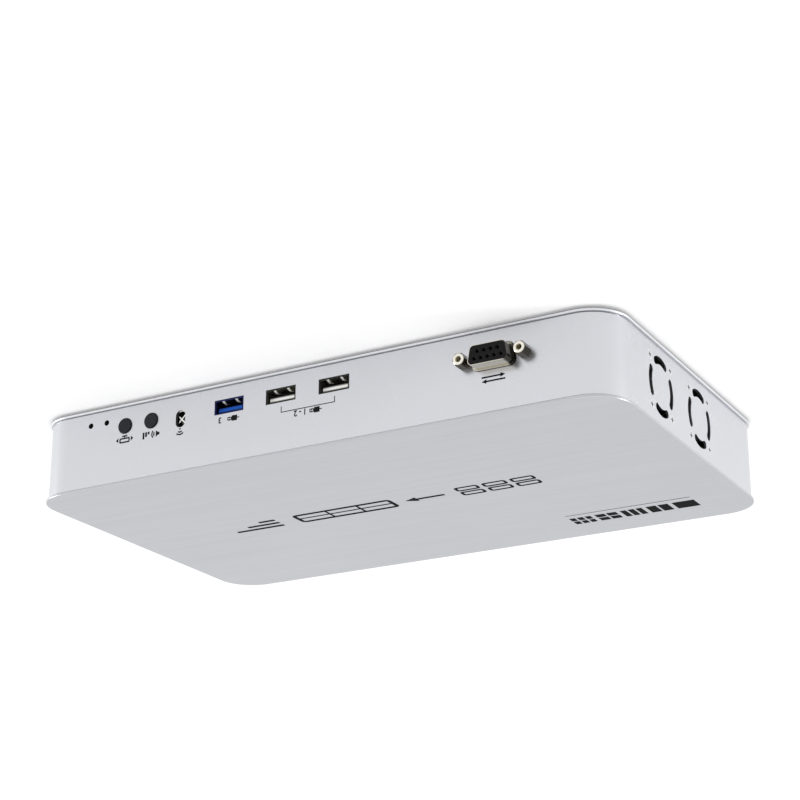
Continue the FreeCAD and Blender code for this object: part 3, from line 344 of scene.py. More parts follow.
# Painted shade: each fan screw is painted near black deeper than its head's outer face.
wall_screw_finish = with_painted_light(
    finish("plated_wall_screw", satin, (0.030, 0.030, 0.032), metal=1.0, rough=0.34,
           scale=6000, tone=0.08),
    sideways, wall_face - 0.42, wall_face - 0.02, (0.640, 0.645, 0.660))
dress(rubber_finish, "rubber_feet")
dress(screw_finish, "case_screws", "board_screws")
dress(wall_screw_finish, "fan_screws")

# Printed marks: black ink, screen printed two hundredths of a millimetre thick on the bare
# metal. They are plain signs and numbers, each a closed skin drawn on a flat sheet.
INK_DEEP, INK_PROUD = -0.02, 0.02
print_finish = finish("black_screen_print", pebbled, (0.008, 0.008, 0.009), rough=0.8,
                      scale=5000, tone=0.25, gloss=0.12, Specular_IOR_Level=0.06)


def skin(name, parts, material, body="case"):
    """One piece of several closed skins. Each part is an array (rings, points, 3) in metres,
    where a ring is the outline of a slice, and whether its last ring joins its first.
    Neighbouring rings are joined by four-sided faces, and open ends get one face each."""
    points, faces, start = [], [], 0
    for rings, loops in parts:
        count, around = rings.shape[:2]
        index = start + np.arange(count * around).reshape(count, around)
        ahead = np.roll(index, -1, 0)
        rows = slice(None) if loops else slice(0, -1)
        quads = np.stack([index, np.roll(index, -1, 1), np.roll(ahead, -1, 1), ahead], -1)[rows]
        faces += quads.reshape(-1, 4).tolist()
        if not loops:
            faces += [index[0][::-1].tolist(), index[-1].tolist()]
        points.append(rings.reshape(-1, 3))
        start += count * around
    finished(name, np.concatenate(points), faces, material, body)


def finished(name, points, faces, material, body):
    """A mesh object at the origin, its doubles merged and its faces turned outwards."""
    mesh = bpy.data.meshes.new(name)
    mesh.from_pydata(points.tolist(), [], faces)
    shape = bmesh.new()
    shape.from_mesh(mesh)
    bmesh.ops.remove_doubles(shape, verts=shape.verts, dist=1e-7)
    bmesh.ops.recalc_face_normals(shape, faces=shape.faces)
    shape.to_mesh(mesh)
    shape.free()
    mesh.materials.append(material)
    piece = bpy.data.objects.new(name, mesh)
    bpy.context.scene.collection.objects.link(piece)
    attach(piece, body)


class Sheet:
    """A flat place to draw on: an origin in metres and its directions right, up and out."""

    def __init__(self, origin, right, up):
        self.origin = np.array(origin, float)
        self.axes = np.array([right, up, np.cross(right, up)], float)

    def place(self, flat):
        """Points (..., 3) of right, up and out in millimetres, as points in metres."""
        return self.origin + MM * flat @ self.axes


def bar(path, width, low, high, closed=False):
    """A flat bar along a path of (right, up) points in millimetres: each point moves to both
    sides along its mitre by half the width, and that outline spans two heights."""
    path = np.asarray(path, float)
    width = np.broadcast_to(np.asarray(width, float), len(path))[:, None]
    step = np.roll(path, -1, 0) - path
    ahead = step / np.linalg.norm(step, axis=1, keepdims=True)
    if not closed:
        ahead[-1] = ahead[-2]
    behind = np.roll(ahead, 1, 0)
    if not closed:
        behind[0] = ahead[0]
    left_ahead = ahead[:, ::-1] * (-1, 1)
    left_behind = behind[:, ::-1] * (-1, 1)
    mitre = (left_ahead + left_behind) / (1 + (left_ahead * left_behind).sum(1))[:, None]
    left, right = path + mitre * width / 2, path - mitre * width / 2
    heights = np.full((len(path), 1), 1.0)
    ring = [np.hstack([left, low * heights]), np.hstack([right, low * heights]),
            np.hstack([right, high * heights]), np.hstack([left, high * heights])]
    return np.stack(ring, 1), closed


def arc(centre, radius, start, end, count):
    """Points on a circle from one angle to another, in degrees anticlockwise from right."""
    angle = np.radians(np.linspace(start, end, count))
    return np.stack([centre[0] + radius * np.cos(angle), centre[1] + radius * np.sin(angle)], 1)


def frame_line(centre, width, tall, corner):
    """The outline of a rectangle with round corners of seven points, anticlockwise."""
    x, y = width / 2 - corner, tall / 2 - corner
    corners = [((x, y), 0), ((-x, y), 90), ((-x, -y), 180), ((x, -y), 270)]
    return np.concatenate([arc((centre[0] + a, centre[1] + b), corner, turn, turn + 90, 7)
                           for (a, b), turn in corners])


def ink(path, width, closed=False):
    """A printed line along a path."""
    return bar(path, width, INK_DEEP, INK_PROUD, closed)


def ink_frame(centre, width, tall, corner, line):
    """A printed frame: a closed line round a rectangle with round corners."""
    return ink(frame_line(centre, width - line, tall - line, corner), line, closed=True)


def ink_block(centre, width, tall):
    """A filled printed rectangle: one short line as wide as the block is tall."""
    x, y = centre
    return ink([(x - width / 2, y), (x + width / 2, y)], tall)


def ink_ring(centre, radius, line):
    """A printed ring: a closed line along a circle of 24 points."""
    return ink(arc(centre, radius, 0, 360, 25)[:-1], line, closed=True)


def ink_dot(centre, radius):
    """A filled printed disc: a ring whose line all but reaches its centre."""
    return ink_ring(centre, radius / 2, radius * 0.998)


def ink_wedge(start, end, wide, point=0.01):
    """A printed triangle: a line that narrows from its start to a point."""
    return ink([start, end], np.array([wide, point]))


def ink_arrow(start, end, line, head):
    """A printed arrow: a line, and a head that is nine tenths as wide as it is long."""
    start, end = np.array(start, float), np.array(end, float)
    way = (end - start) / np.linalg.norm(end - start)
    neck = end - way * head
    return [ink([start, neck], line), ink_wedge(neck, end, head * 0.9)]


def letters(text, cap, centre):
    """The points (right, up, out) in millimetres and the faces of upright letters of a cap
    height, centred on a point: a text curve given its thickness and made a mesh."""
    narrow, bold, thick = 0.9, 0.03, 0.01
    curve = bpy.data.curves.new("letters", "FONT")
    curve.body = text
    curve.extrude = thick
    curve.offset = bold
    writer = bpy.data.objects.new("letters", curve)
    bpy.context.scene.collection.objects.link(writer)
    bpy.context.view_layer.update()
    mesh = bpy.data.meshes.new_from_object(
        writer.evaluated_get(bpy.context.evaluated_depsgraph_get()))
    points = np.empty(len(mesh.vertices) * 3)
    mesh.vertices.foreach_get("co", points)
    points = points.reshape(-1, 3)
    faces = [list(face.vertices) for face in mesh.polygons]
    low, high = points.min(0), points.max(0)
    size = cap / (high[1] - low[1]) * np.array([narrow, 1.0])
    flat = (points[:, :2] - (low[:2] + high[:2]) / 2) * size + np.array(centre)
    tall = np.where(points[:, 2:] > 0, INK_PROUD, INK_DEEP)
    bpy.data.objects.remove(writer)
    bpy.data.curves.remove(curve)
    bpy.data.meshes.remove(mesh)
    return np.hstack([flat, tall]), faces


def printed(name, sheet, lines, words=(), material=print_finish,
            body="case"):
    """One printed piece of lines, and one of each word (text, cap height, centre), on a
    sheet."""
    skin(name, [(sheet.place(rings), closed) for rings, closed in lines], material, body)
    for number, (text, cap, centre) in enumerate(words, 1):
        points, faces = letters(text, cap, centre)
        finished("%s_word_%d" % (name, number), sheet.place(points), faces, material,
                 body)


# Art on the cover: six small screens, an arrow and one large screen of six tiles across its
# middle, and a row of screen layouts in the far corner. Plain screen print on brushed metal.
cover_sheet = Sheet((0, 0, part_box("top_cover")[1].z), (1, 0, 0), (0, 1, 0))


def cover_art():
    """Six small frames in two rows, an arrow, a large frame split in six, and three lines."""
    level, small_x, large_x, text_x = -3.05, -47.5, 24.5, 69.5
    column_step, row_half, line_step = 12.6, 2.95, 3.9
    lines = [ink_frame((small_x + column * column_step, level + row * row_half), 10.8, 4.9,
                       corner=0.8, line=1.3)
             for column in (-1, 0, 1) for row in (-1, 1)]
    lines += ink_arrow((-23.0, level), (-4.5, level), line=1.7, head=5.6)
    lines.append(ink_frame((large_x, level), 48.0, 10.8, corner=1.4, line=1.8))
    lines.append(ink_block((large_x, level), 44.6, 1.1))
    lines += [ink_block((large_x + x, level), 1.1, 7.4) for x in (-7.6, 7.6)]
    lines += [ink_block((text_x - 4.0 * i, level + (1 - i) * line_step), 24.0 - 8.0 * i, 1.9)
              for i in range(3)]
    return lines


def layout_art():
    """Five solid screens, cut by bare gaps into one, two, three, four and six tiles, over one
    thin line."""
    lines = []
    wide, tall, gap, step, left_edge, foot = 9.8, 8.6, 0.9, 11.7, -110.15, 53.0
    for i, (columns, rows) in enumerate(((1, 1), (2, 1), (3, 1), (2, 2), (3, 2))):
        tile_wide, tile_tall = (wide + gap) / columns - gap, (tall + gap) / rows - gap
        left, low = left_edge + i * step + tile_wide / 2, foot + tile_tall / 2
        lines += [ink_block((left + column * (tile_wide + gap), low + row * (tile_tall + gap)),
                            tile_wide, tile_tall)
                  for column in range(columns) for row in range(rows)]
    return lines + [ink_block((-81.85, 48.9), 56.5, 0.45)]


printed("cover_art", cover_sheet, cover_art())
printed("layout_art", cover_sheet, layout_art())


# Marks on the front wall, printed over the buttons and sockets: a screen, a speaker, a beam,
# plugs with plain numbers over the flat sockets and two arrows over the serial one. The parts
# of each sign are shares of its height, and its place is in millimetres on the wall.
def middle(name):
    """The middle of a CAD node's box, in millimetres."""
    low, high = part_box(name)
    return np.array(low + high) / 2 / MM


def screen_sign(centre, width, tall, line):
    """A small screen on a foot."""
    x, y = centre
    return [ink_frame((x, y + tall * 0.12), width, tall * 0.76, 0.3, line),
            ink_block((x, y - tall * 0.38), line, tall * 0.2),
            ink_block((x, y - tall * 0.5), width * 0.5, line)]


def change_sign(centre, width, tall, line):
    """A screen between two triangles that point away from it."""
    x, y = centre
    point = tall * 0.4
    return screen_sign(centre, width - 2.9 * point, tall, line) + [
        ink_wedge((x + side * (width / 2 - point), y), (x + side * width / 2, y), point * 1.8)
        for side in (-1, 1)]


def speaker_sign(centre, width, tall, line):
    """A speaker: a small box, a cone that widens and two sound waves. Three rising bars
    stand beside it."""
    x, y = centre[0] - width / 2 + tall * 0.75, centre[1]
    right, low = centre[0] + width / 2, y - tall / 2
    return [ink_block((x - tall * 0.62, y), tall * 0.26, tall * 0.4),
            ink([(x - tall * 0.5, y), (x - tall * 0.12, y)], np.array([tall * 0.4, tall])),
            ink(arc((x - tall * 0.1, y), tall * 0.34, -48, 48, 13), line),
            ink(arc((x - tall * 0.1, y), tall * 0.66, -48, 48, 17), line)] + [
                ink_block((right - line * (0.75 + 2.1 * i), low + tall * high / 2),
                          line * 1.5, tall * high)
                for i, high in enumerate((1.0, 0.7, 0.4))]


def plug_sign(centre, tall, line):
    """A flat plug: its nose with two square holes, its body and the start of its cord."""
    x, y = centre
    return [ink_frame((x + tall * 0.75, y), tall * 0.9, tall * 0.66, 0.1, line),
            ink_block((x + tall * 0.78, y + tall * 0.13), tall * 0.24, tall * 0.14),
            ink_block((x + tall * 0.78, y - tall * 0.13), tall * 0.24, tall * 0.14),
            ink_block((x - tall * 0.25, y), tall * 1.1, tall),
            ink_block((x - tall, y), tall * 0.5, line)]


def beam_sign(centre, tall, line):
    """A remote beam: a dot with two waves over it."""
    x, y = centre
    return [ink_dot((x, y - tall * 0.42), tall * 0.14)] + [
        ink(arc((x, y - tall * 0.42), tall * reach, 48, 132, 15), line) for reach in (0.48, 0.86)]


def exchange_sign(centre, width, tall, line):
    """Two arrows, one over the other, that point opposite ways."""
    x, y = centre
    rise, head = tall * 0.28, 2.0
    return (ink_arrow((x - width / 2, y + rise), (x + width / 2, y + rise), line, head)
            + ink_arrow((x + width / 2, y - rise), (x - width / 2, y - rise), line, head))


front_sheet = Sheet((0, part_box("wall_band")[0].y, 0), (1, 0, 0), (0, 0, 1))
data_left, data_middle, data_right = [middle("usb_shell_" + side)[0]
                                      for side in ("left", "middle", "right")]
video_key_x, audio_key_x = middle("video_button")[0], middle("audio_button")[0]
eye_x, serial_x = middle("eye_receiver")[0], middle("serial_shell")[0]
cap_height = 2.6
front_lines = (change_sign((video_key_x, 16.6), width=8.7, tall=3.0, line=0.65)
               + speaker_sign((audio_key_x - 0.2, 16.8), width=8.4, tall=2.9, line=0.6)
               + beam_sign((eye_x, 18.0), tall=2.8, line=0.6)
               + plug_sign((data_right - 2.2, 16.7), tall=2.3, line=0.4)
               + plug_sign((data_middle - 16.2, 20.1), tall=2.3, line=0.4)
               + exchange_sign((serial_x + 0.4, 21.6), width=9.8, tall=3.0, line=0.65)
               + [ink([(data_left - 0.4, 16.0), (data_left - 0.4, 18.4),
                       (data_middle - 0.4, 18.4), (data_middle - 0.4, 16.0)], width=0.35)])
printed("front_marks", front_sheet, front_lines,
        [("1 - 2", cap_height, (data_middle - 8.9, 20.1)),
         ("3", cap_height, (data_right + 4.2, 16.7))])


# Marks on the rear wall, printed likewise: a bracket over the six inputs with the numbers of
# the first and the last, signs over the output, network jack and inlet, and ON/OFF.
def network_sign(centre, width, tall, line):
    """A network: one box over three, joined by lines."""
    x, y = centre
    side = tall * 0.36
    low, high, reach = y - tall / 2 + side / 2, y + tall / 2 - side / 2, width / 2 - side * 0.7
    boxes = [ink_frame((x + across, level), side * 1.4, side, 0.08, line)
             for across, level in ((0, high), (-reach, low), (0, low), (reach, low))]
    bus = [ink([(x - reach, low + side / 2), (x - reach, y), (x + reach, y),
                (x + reach, low + side / 2)], line),
           ink([(x, low + side / 2), (x, high - side / 2)], line)]
    return boxes + bus


def inlet_sign(centre, tall, line):
    """A barrel plug's poles: minus ring, open ring round a dot, plus ring."""
    x, y = centre
    reach, thin = tall * 2.33, line * 0.8
    lines = [ink(arc((x, y), tall * 0.42, 40, 320, 25), line), ink_dot((x, y), tall * 0.16),
             ink_block((x + reach * 0.36, y), reach * 0.72 - tall * 0.3, line),
             ink_block((x - reach * 0.55, y), reach * 0.3, line)]
    minus, plus = [(x + side * (reach * 0.72 + tall * 0.22), y) for side in (-1, 1)]
    for pole in (minus, plus):
        lines += [ink_ring(pole, tall * 0.34, thin), ink_block(pole, tall * 0.36, thin)]
    return lines + [ink_block(plus, thin, tall * 0.36)]


def out_sign(centre, tall, line):
    """A picture leaving: a screen and an arrow out of it."""
    x, y = centre
    return screen_sign((x - tall * 0.9, y), tall * 1.5, tall, line) + ink_arrow(
        (x + tall * 0.1, y + tall * 0.1), (x + tall * 1.5, y + tall * 0.1), line, tall * 0.5)


rear_sheet = Sheet((0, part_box("wall_band")[1].y, 0), (-1, 0, 0), (0, 0, 1))
input_first, input_last = -middle("video_in_shell_1")[0], -middle("video_in_shell_6")[0]
output_u, lan_u = -middle("video_out_shell")[0], -middle("lan_shield")[0]
inlet_u, switch_u = -middle("inlet_body")[0], -middle("switch_housing")[0]
rear_lines = (out_sign((output_u + 0.5, 15.4), tall=2.9, line=0.6)
              + network_sign((lan_u + 0.7, 23.4), width=12.6, tall=3.2, line=0.5)
              + inlet_sign((inlet_u, 20.8), tall=2.5, line=0.55)
              + [ink([(input_first + 0.4, 14.2), (input_first + 0.4, 16.5),
                      (input_last - 0.3, 16.5), (input_last - 0.3, 14.2)], width=0.45)]
              + ink_arrow((-17.3, 19.9), (-9.9, 19.9), line=0.55, head=2.4))
printed("rear_marks", rear_sheet, rear_lines,
        [("1", cap_height, (-20.5, 19.9)), ("6", cap_height, (-6.1, 19.9)),
         ("ON/OFF", cap_height, (switch_u, 31.0))])

# Video sockets: shells folded from nickel-plated sheet, painted darker than bare nickel as
# painted shade and darkest at their mouths, round moulded black tongues, soldered to the board.
# Gold contacts lie along each tongue, and two leaves spring up from each shell's floor, painted
# brighter than the shells as a painted glint.
video_shells = ["video_out_shell"] + ["video_in_shell_%d" % i for i in range(1, 7)]
socket_mouth = -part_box("usb_shell_left")[0].y / MM
# Painted shade: the shells' nickel is painted dark, and darker still in a band at the mouth.
nickel_finish = with_painted_light(
    finish("nickel_shell", satin, (0.300, 0.300, 0.255), metal=1.0, rough=0.38, scale=5000,
           tone=0.08, gloss=0.15),
    frontways, socket_mouth - 0.35, socket_mouth - 0.05, (0.060, 0.060, 0.052))
socket_black = finish("socket_black_plastic", pebbled, (0.004, 0.004, 0.0045), rough=0.6,
                      bump=8e-6, Specular_IOR_Level=0.12)
contact_gold = finish("contact_gold", satin, (0.420, 0.300, 0.130), metal=1.0, rough=0.3,
                      scale=8000, tone=0.08, bump=2e-6)
# Painted glint: the springs are the shells' nickel painted near white.
spring_painted_glint = finish("spring_nickel_painted_glint", satin, (0.930, 0.915, 0.870), metal=0.5, scale=5000,
                      tone=0.05, bump=2e-6)
dress(nickel_finish, *video_shells)
dress(socket_black, "video_tongues")


def strip(x, path, thick, width):
    """A flat strip that follows a path of (y, z) points in millimetres, its width level and
    half on each side of one x."""
    rings, closed = bar(path, thick, -width / 2, width / 2)
    return Sheet((x * MM, 0, 0), (0, 1, 0), (0, 0, 1)).place(rings), closed


def video_contacts():
    """Ten strips over and nine under each tongue, their front ends bent into it."""
    pitch, width, thick, tongue_half = 1.0, 0.45, 0.12, 0.65
    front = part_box("video_tongues")[1].y / MM - 0.6
    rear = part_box("video_out_shell")[0].y / MM + 3.0
    tongue_middle = middle("video_tongues")[2] + 0.55
    parts = []
    for name in video_shells:
        for count, side in ((10, 1), (9, -1)):
            level = tongue_middle + side * (tongue_half + thick * 0.3)
            path = [(rear, level), (front - 0.6, level), (front, level - side * 0.25)]
            parts += [strip(middle(name)[0] + (i - (count - 1) / 2) * pitch, path, thick, width)
                      for i in range(count)]
    return parts


def floor_leaves(shells, mouth, way, low, spacing):
    """Two leaves on each shell's floor: each follows an arch, half a sine, from just inside
    the mouth, at a y in millimetres, inwards. way is 1 where inwards is +Y."""
    inset, length, rise = 0.2, 4.4, 0.72
    along = np.linspace(0, 1, 13)
    path = np.stack([mouth + way * (inset + length * along),
                     low + 0.06 + rise * np.sin(math.pi * along)], 1)
    return [strip(middle(name)[0] + side * spacing / 2, path, thick=0.14, width=1.0)
            for name in shells for side in (-1, 1)]


skin("video_contacts", video_contacts(), contact_gold)
skin("video_springs",
     floor_leaves(video_shells, mouth=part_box("video_out_shell")[1].y / MM, way=-1,
                  low=middle("video_tongues")[2] - 2.35, spacing=4.6),
     spring_painted_glint)

# Flat data sockets: the same folded shells, with a moulded white tongue in two and a blue one
# in the third, whose blue light is painted onto its shell as a painted reflection. A tongue
# shows its full colour in a band along its front edge and painted shade over the rest, and
# has four gold contacts on its underside.
data_shells = ["usb_shell_left", "usb_shell_middle", "usb_shell_right"]
# Painted reflection: this shell's nickel is painted blue, as the blue tongue's light.
shell_painted_blue_reflection = finish("blue_lit_shell", satin, (0.035, 0.045, 0.170), metal=1.0,
                            rough=0.38, scale=5000, tone=0.08, gloss=0.15)
tongue_low, tongue_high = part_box("usb_tongue_blue")
front_and_down = (0, -1, -1)
tongue_edge = (-tongue_low.y - tongue_high.z) / MM + 0.6
white_shade, white_plastic = (0.060, 0.059, 0.054), (0.820, 0.810, 0.780)
# Painted shade: the white and blue tongues are shade-coloured outside a band along the front
# edge.
tongue_white = finish("tongue_white_plastic", pebbled, white_shade, rough=0.42, tone=0.05,
                      bump=5e-6)
with_painted_light(tongue_white, front_and_down, tongue_edge + 0.08, tongue_edge + 0.50, white_plastic)
with_painted_light(tongue_white, front_and_down, tongue_edge + 1.15, tongue_edge + 1.60, white_shade)
blue_shade, blue_plastic = (0.004, 0.016, 0.080), (0.004, 0.080, 0.430)
deep_blue_shade = (0.003, 0.020, 0.130)
tongue_blue = finish("tongue_blue_plastic", pebbled, blue_shade, rough=0.38, tone=0.12,
                     bump=5e-6, Specular_IOR_Level=0.12)
with_painted_light(tongue_blue, front_and_down, tongue_edge + 0.10, tongue_edge + 0.60, blue_plastic)
with_painted_light(tongue_blue, front_and_down, tongue_edge + 1.15, tongue_edge + 1.75, deep_blue_shade)
dress(nickel_finish, *data_shells[:2])
dress(shell_painted_blue_reflection, data_shells[2])
dress(tongue_white, "usb_tongues_white")
dress(tongue_blue, "usb_tongue_blue")


def data_contacts():
    """Four strips under each tongue, the outer two wider, their front ends bent into it."""
    under, thick = middle("usb_tongue_blue")[2] + 0.17, 0.12
    front, rear = tongue_low.y / MM + 0.4, tongue_high.y / MM - 4.4
    path = [(front, under + 0.25), (front + 0.6, under - 0.04), (rear, under - 0.04)]
    return [strip(x + across, path, thick, width) for x in (data_left, data_middle, data_right)
            for across, width in ((-3.5, 1.2), (-1.0, 1.0), (1.0, 1.0), (3.5, 1.2))]


skin("data_contacts", data_contacts(), contact_gold)
skin("data_springs",
     floor_leaves(data_shells, mouth=-socket_mouth, way=1,
                  low=middle("usb_tongue_blue")[2] - 2.61, spacing=6.2),
     spring_painted_glint)

# Network jack: a shield of plated sheet folded round a moulded black housing, soldered to the
# board. Eight gold wires slope up inside it, and each upper corner has a clear tinted light.
shield_finish = finish("plated_shield", satin, (0.690, 0.696, 0.722), metal=1.0, rough=0.36,
                       tone=0.06, gloss=0.12)
# Painted shade: the wires' gold is painted dark, as they lie in the jack's shade.
wire_gold = finish("shaded_wire_gold", satin, (0.110, 0.080, 0.035), metal=1.0, rough=0.4,
                   scale=8000, tone=0.08, bump=2e-6)
green_light = finish("green_light_plastic", pebbled, (0.050, 0.330, 0.130), rough=0.22,
                     scale=3000, bump=4e-6, Transmission_Weight=0.2)
olive_light = finish("olive_light_plastic", pebbled, (0.400, 0.420, 0.090), rough=0.22,
                     scale=3000, bump=4e-6, Transmission_Weight=0.2)
dress(shield_finish, "lan_shield")
dress(socket_black, "lan_housing")
dress(green_light, "lan_light_green")
dress(olive_light, "lan_light_amber")


def network_wires():
    """Eight flat wires: from the floor near the mouth each slopes up and inwards."""
    pitch, (low, high) = 1.02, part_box("lan_housing")
    mouth, floor_z = high.y / MM, low.z / MM
    path = [(mouth - 11.8, floor_z + 5.6), (mouth - 4.6, floor_z + 2.3),
            (mouth - 3.4, floor_z + 1.5), (mouth - 3.0, floor_z + 0.6)]
    return [strip(middle("lan_housing")[0] + (i - 3.5) * pitch, path, thick=0.3, width=0.32)
            for i in range(8)]


skin("network_wires", network_wires(), wire_gold)

# Serial socket: a warm nickel shell, painted dark at its two ends as a painted reflection, on
# a flange between two turned jackscrews, painted near black along their sides as a painted
# reflection and bright on their faces as a painted highlight. Its black insulator has nine
# holes with a brass contact tube down each, and each jackscrew has a thread cut in it.
serial_side = -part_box("serial_insulator")[0].x / MM
serial_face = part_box("serial_insulator")[0].y
serial_middle = middle("serial_shell")[2]
jack_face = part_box("serial_jackscrews")[0].y / MM
# Painted reflection: the shell and nuts are painted dark toward the socket's two ends.
serial_finish = with_painted_light(
    finish("warm_nickel", satin, (0.600, 0.570, 0.500), metal=1.0, rough=0.22, scale=5000,
           tone=0.06, gloss=0.12),
    sideways, serial_side - 2.4, serial_side - 1.5, (0.060, 0.055, 0.045))
thread_finish = finish("cut_thread", satin, (0.640, 0.590, 0.450), metal=1.0, rough=0.35,
                       scale=6000, tone=0.06, gloss=0.12)
brass_finish = finish("contact_brass", satin, (0.620, 0.450, 0.200), metal=1.0, rough=0.3,
                      scale=6000, tone=0.1)
# Painted reflection and highlight: each jackscrew is near black except its bright end face.
jackscrew_finish = with_painted_light(
    finish("turned_nickel", satin, (0.055, 0.048, 0.036), metal=1.0, rough=0.24, scale=5000,
           tone=0.06, gloss=0.12),
    frontways, -jack_face - 0.20, -jack_face - 0.04, (0.800, 0.770, 0.680))
dress(serial_finish, "serial_shell", "serial_nuts")
dress(socket_black, "serial_insulator")
dress(jackscrew_finish, "serial_jackscrews")


def shell_line(grow):
    """The socket's D, grown by a margin: a trapezoid whose sides lean by 10 degrees, each
    corner an arc between the directions that its two edges face."""
    shell_wide, shell_tall, shell_corner = 16.4, 7.9, 1.9
    lean, corner = math.radians(10.0), shell_corner + grow
    wide = shell_wide / 2 + grow + corner * (math.tan(lean) + 1 / math.cos(lean) - 1)
    tall = shell_tall + 2 * grow
    high = wide - corner * math.tan(lean) - corner / math.cos(lean)
    low = wide - (tall - corner) * math.tan(lean) - corner / math.cos(lean)
    top, bottom = tall / 2 - corner, corner - tall / 2
    return np.concatenate([arc((low, bottom), corner, -90, -10, 9),
                           arc((high, top), corner, -10, 90, 9),
                           arc((-high, top), corner, 90, 190, 9),
                           arc((-low, bottom), corner, 190, 270, 9)]) + (serial_x, serial_middle)


def serial_step():
    """The drawn shell's foot: a wider ring round the collar, through the wall's cut-out."""
    rings, closed = bar(shell_line(grow=0.28), 0.5, -1.5, 0.9, closed=True)
    return [(front_sheet.place(rings), closed)]


def turned(profile, count, centre):
    """A profile of (radius, depth) points in millimetres turned round +Y through a centre:
    ring k holds the profile turned by k parts of a circle. Its last point joins its first,
    so it is closed both ways."""
    angle = np.linspace(0, 2 * math.pi, count, endpoint=False)[:, None, None]
    profile = np.asarray(profile, float)
    radius, depth = profile[None, :, :1], profile[None, :, 1:]
    spots = np.concatenate([radius * np.cos(angle), depth + 0 * angle,
                            -radius * np.sin(angle)], -1)
    return np.array(centre, float) + MM * spots, True


def serial_contacts():
    """A thin tube set back in each hole, five over four."""
    pitch, row_half = 2.77, 1.42
    outer, inner, start, end = 0.6, 0.42, 2.2, 4.8
    tube = [(outer, start), (inner, start), (inner, end), (outer, end)]
    return [turned(tube, 16, ((serial_x + (i - (count - 1) / 2) * pitch) * MM, serial_face,
                              (serial_middle + side * row_half) * MM))
            for count, side in ((5, 1), (4, -1)) for i in range(count)]


def jackscrew_threads():
    """A threaded sleeve in each jackscrew: its inner wall is a cosine wave along the axis,
    from crest to root, moved on by one pitch for each turn round it."""
    pitch, turns, crest, root, outer = 0.64, 7, 1.1, 1.22, 1.245
    screw_half_pitch, inset, around = 12.495, 0.1, 32
    angle = np.linspace(0, 2 * math.pi, around, endpoint=False)[:, None]
    along = np.linspace(0, turns * pitch, turns * 8 + 1)[None, :]
    wave = (1 + np.cos(2 * math.pi * along / pitch - angle)) / 2
    radius = np.concatenate([root + (crest - root) * wave, np.full((around, 2), outer)], 1)
    depth = np.concatenate([along + 0 * angle, np.full((around, 1), turns * pitch),
                            np.zeros((around, 1))], 1)
    return [(MM * np.stack([serial_x + side * screw_half_pitch + radius * np.cos(angle),
                            jack_face + inset + depth,
                            serial_middle + radius * np.sin(angle)], -1), True)
            for side in (-1, 1)]


skin("serial_step", serial_step(), serial_finish)
skin("serial_contacts", serial_contacts(), brass_finish)
skin("jackscrew_threads", jackscrew_threads(), thread_finish)

# Power inlet: a moulded black block soldered to the board, with a plated pin, painted dark as
# painted shade, down the middle of its round bore, and low in the bore a sprung leaf, painted
# bright as a painted glint, that the plug's barrel rubs on.
inlet_black = finish("inlet_black_plastic", pebbled, (0.008, 0.008, 0.010), scale=3500,
                     gloss=0.12, bump=1e-5, Specular_IOR_Level=0.12)
# Painted shade: the plated pin is painted near black.
pin_finish = finish("inlet_pin_painted_shade", satin, (0.045, 0.045, 0.046), metal=1.0, rough=0.3,
                    scale=5000, tone=0.08, gloss=0.12)
dress(inlet_black, "inlet_body")
dress(pin_finish, "inlet_pin")


def inlet_leaf():
    """A leaf on the bore's floor: a nose near the mouth rises out of it and dips again."""
    level, nose = middle("inlet_pin")[2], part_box("inlet_body")[1].y / MM - 1.0
    path = [(nose + 0.15, level - 2.85), (nose, level - 2.40), (nose - 0.9, level - 2.40),
            (nose - 2.4, level - 2.90)]
    return [strip(middle("inlet_pin")[0], path, thick=0.2, width=2.6)]


skin("inlet_leaf", inlet_leaf(), spring_painted_glint)

# Rocker switch: a housing and rocker moulded in black plastic, snapped into the rear wall,
# over two plated terminals. The rocker pivots on two pins, and its halves carry a pad-printed
# bar for on and a ring for off.
switch_black = finish("switch_black_plastic", pebbled, (0.006, 0.0065, 0.007), scale=2500,
                      gloss=0.12, bump=1.2e-5, Specular_IOR_Level=0.14)
print_white = finish("white_pad_print", pebbled, (0.800, 0.810, 0.820), scale=5000, tone=0.05)
dress(switch_black, "switch_housing", "power_rocker")
dress(shield_finish, "switch_terminals")
rocker_pivot = next(joint["pos_m"] for joint in frame["joints"] if joint["name"] == "rocker_tilt")


def rocker_face(side):
    """The sheet on the rocker's upper half (1) or lower half (-1), its origin on the line
    where the halves meet. Both slope outwards from it, and at rest the rocker is turned by
    that same slope, so that the upper half stands upright."""
    crest_depth, slope = 2.6, math.radians(10.0)
    crest = Vector((0, crest_depth * math.cos(slope), crest_depth * math.sin(slope))) * MM
    lean = side * slope - slope
    return Sheet(Vector(rocker_pivot) + crest, (-1, 0, 0), (0, math.sin(lean), math.cos(lean)))


ring_turn = np.linspace(0, 2 * math.pi, 40, endpoint=False)
ring_path = np.stack([-0.35 + 1.8 * np.cos(ring_turn), -4.0 + 2.2 * np.sin(ring_turn)], 1)
printed("switch_ring", rocker_face(-1), [ink(ring_path, 0.55, closed=True)],
        material=print_white, body="rocker")
printed("switch_bar", rocker_face(1), [ink_block((-0.3, 4.7), width=0.7, tall=3.8)],
        material=print_white, body="rocker")

# Push buttons: round caps moulded in soft black plastic. Each sits loose in its hole, on a
# plunger that reaches back to a push switch on the board.
button_finish = finish("button_charcoal_plastic", pebbled, (0.012, 0.014, 0.017), rough=0.6,
                       scale=3000, tone=0.15, bump=1.2e-5, Specular_IOR_Level=0.12)
dress(button_finish, "video_button", "audio_button", "video_plunger", "audio_plunger")

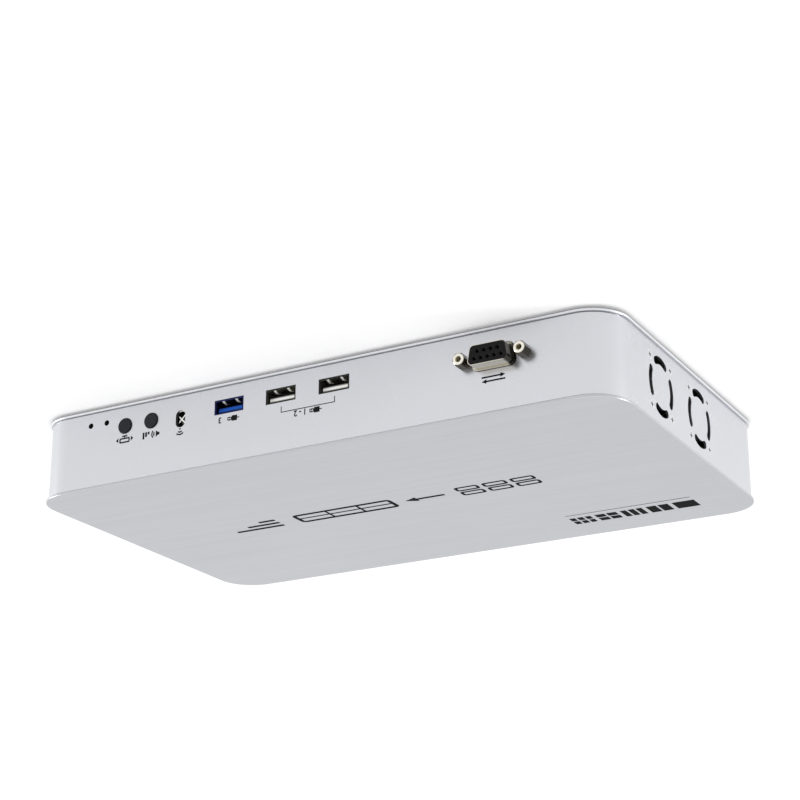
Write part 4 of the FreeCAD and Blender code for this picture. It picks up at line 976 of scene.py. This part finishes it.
# Infrared eye and status lights: dark resin that passes infrared, in a tinned cage painted dark
# as painted shade beyond a set distance along X from the eye's middle, and small clear lenses
# that look dark while they are off.
eye_finish = finish("infrared_resin", satin, (0.010, 0.008, 0.010), rough=0.12, scale=2000,
                    tone=0.1, gloss=0.04, bump=1e-6, Coat_Weight=0.4)
# Painted shade: the tin cage is painted near black beyond a set distance along X.
eye_shine = with_painted_light(
    finish("eye_cage_tin", satin, (0.860, 0.850, 0.820), metal=1.0, rough=0.30, scale=5000,
           tone=0.06),
    sideways, eye_x + 1.0, eye_x + 1.3, (0.030, 0.030, 0.028))
lens_finish = finish("unlit_lens", satin, (0.020, 0.020, 0.022), rough=0.15, scale=2000,
                     tone=0.1, gloss=0.04, bump=1e-6)
dress(eye_finish, "eye_receiver")
dress(eye_shine, "eye_shield")
dress(lens_finish, "status_lights")

# Fans: frames and rotors moulded in black plastic, each rotor turning on the hub of its
# frame round a stator with windings of enamelled copper wire.
fan_finish = finish("fan_black_plastic", pebbled, (0.0025, 0.0025, 0.003), rough=0.7,
                    scale=2500, gloss=0.12, bump=1.2e-5, Specular_IOR_Level=0.05)
copper_finish = finish("enamelled_copper", brushed, (0.450, 0.170, 0.060), metal=1.0,
                       rough=0.3, tone=0.3, bump=2e-5)
dress(fan_finish, *["fan_%s_%d" % (part, i) for part in ("frame", "rotor") for i in range(1, 5)])
dress(copper_finish, "fan_stators")

# Board and what stands on it, inside the closed case: green solder mask, chips in epoxy, an
# extruded heat sink, capacitors in aluminium cans, nylon headers and leads in black plastic.
# Turned steel standoffs carry the board, and pillars of the same steel hold the cover.
board_finish = finish("board_solder_mask", satin, (0.004, 0.040, 0.016), rough=0.4,
                      scale=1500, tone=0.3, bump=5e-6)
chip_finish = finish("chip_epoxy", pebbled, (0.016, 0.016, 0.018), rough=0.6, scale=6000,
                     bump=5e-6)
sink_finish = finish("extruded_sink", brushed, (0.380, 0.385, 0.400), metal=1.0, rough=0.4,
                     scale=2000, bump=8e-6)
can_finish = finish("capacitor_can", satin, (0.560, 0.565, 0.580), metal=1.0, rough=0.25,
                    scale=3000, tone=0.08)
steel_finish = finish("plated_steel", satin, (0.480, 0.485, 0.500), metal=1.0, rough=0.32,
                      tone=0.1, gloss=0.12, bump=4e-6)
lead_finish = finish("lead_insulation", pebbled, (0.018, 0.018, 0.018), rough=0.45,
                     scale=3000, bump=8e-6)
header_finish = finish("header_nylon", pebbled, (0.780, 0.770, 0.740), tone=0.08, bump=6e-6)
dress(board_finish, "main_board")
dress(chip_finish, "video_processor", "board_chips", "push_switches")
dress(sink_finish, "heat_sink")
dress(can_finish, "capacitors")
dress(steel_finish, "cover_pillars", "board_standoffs")
dress(lead_finish, "fan_leads", "switch_leads")
dress(header_finish, "fan_headers")
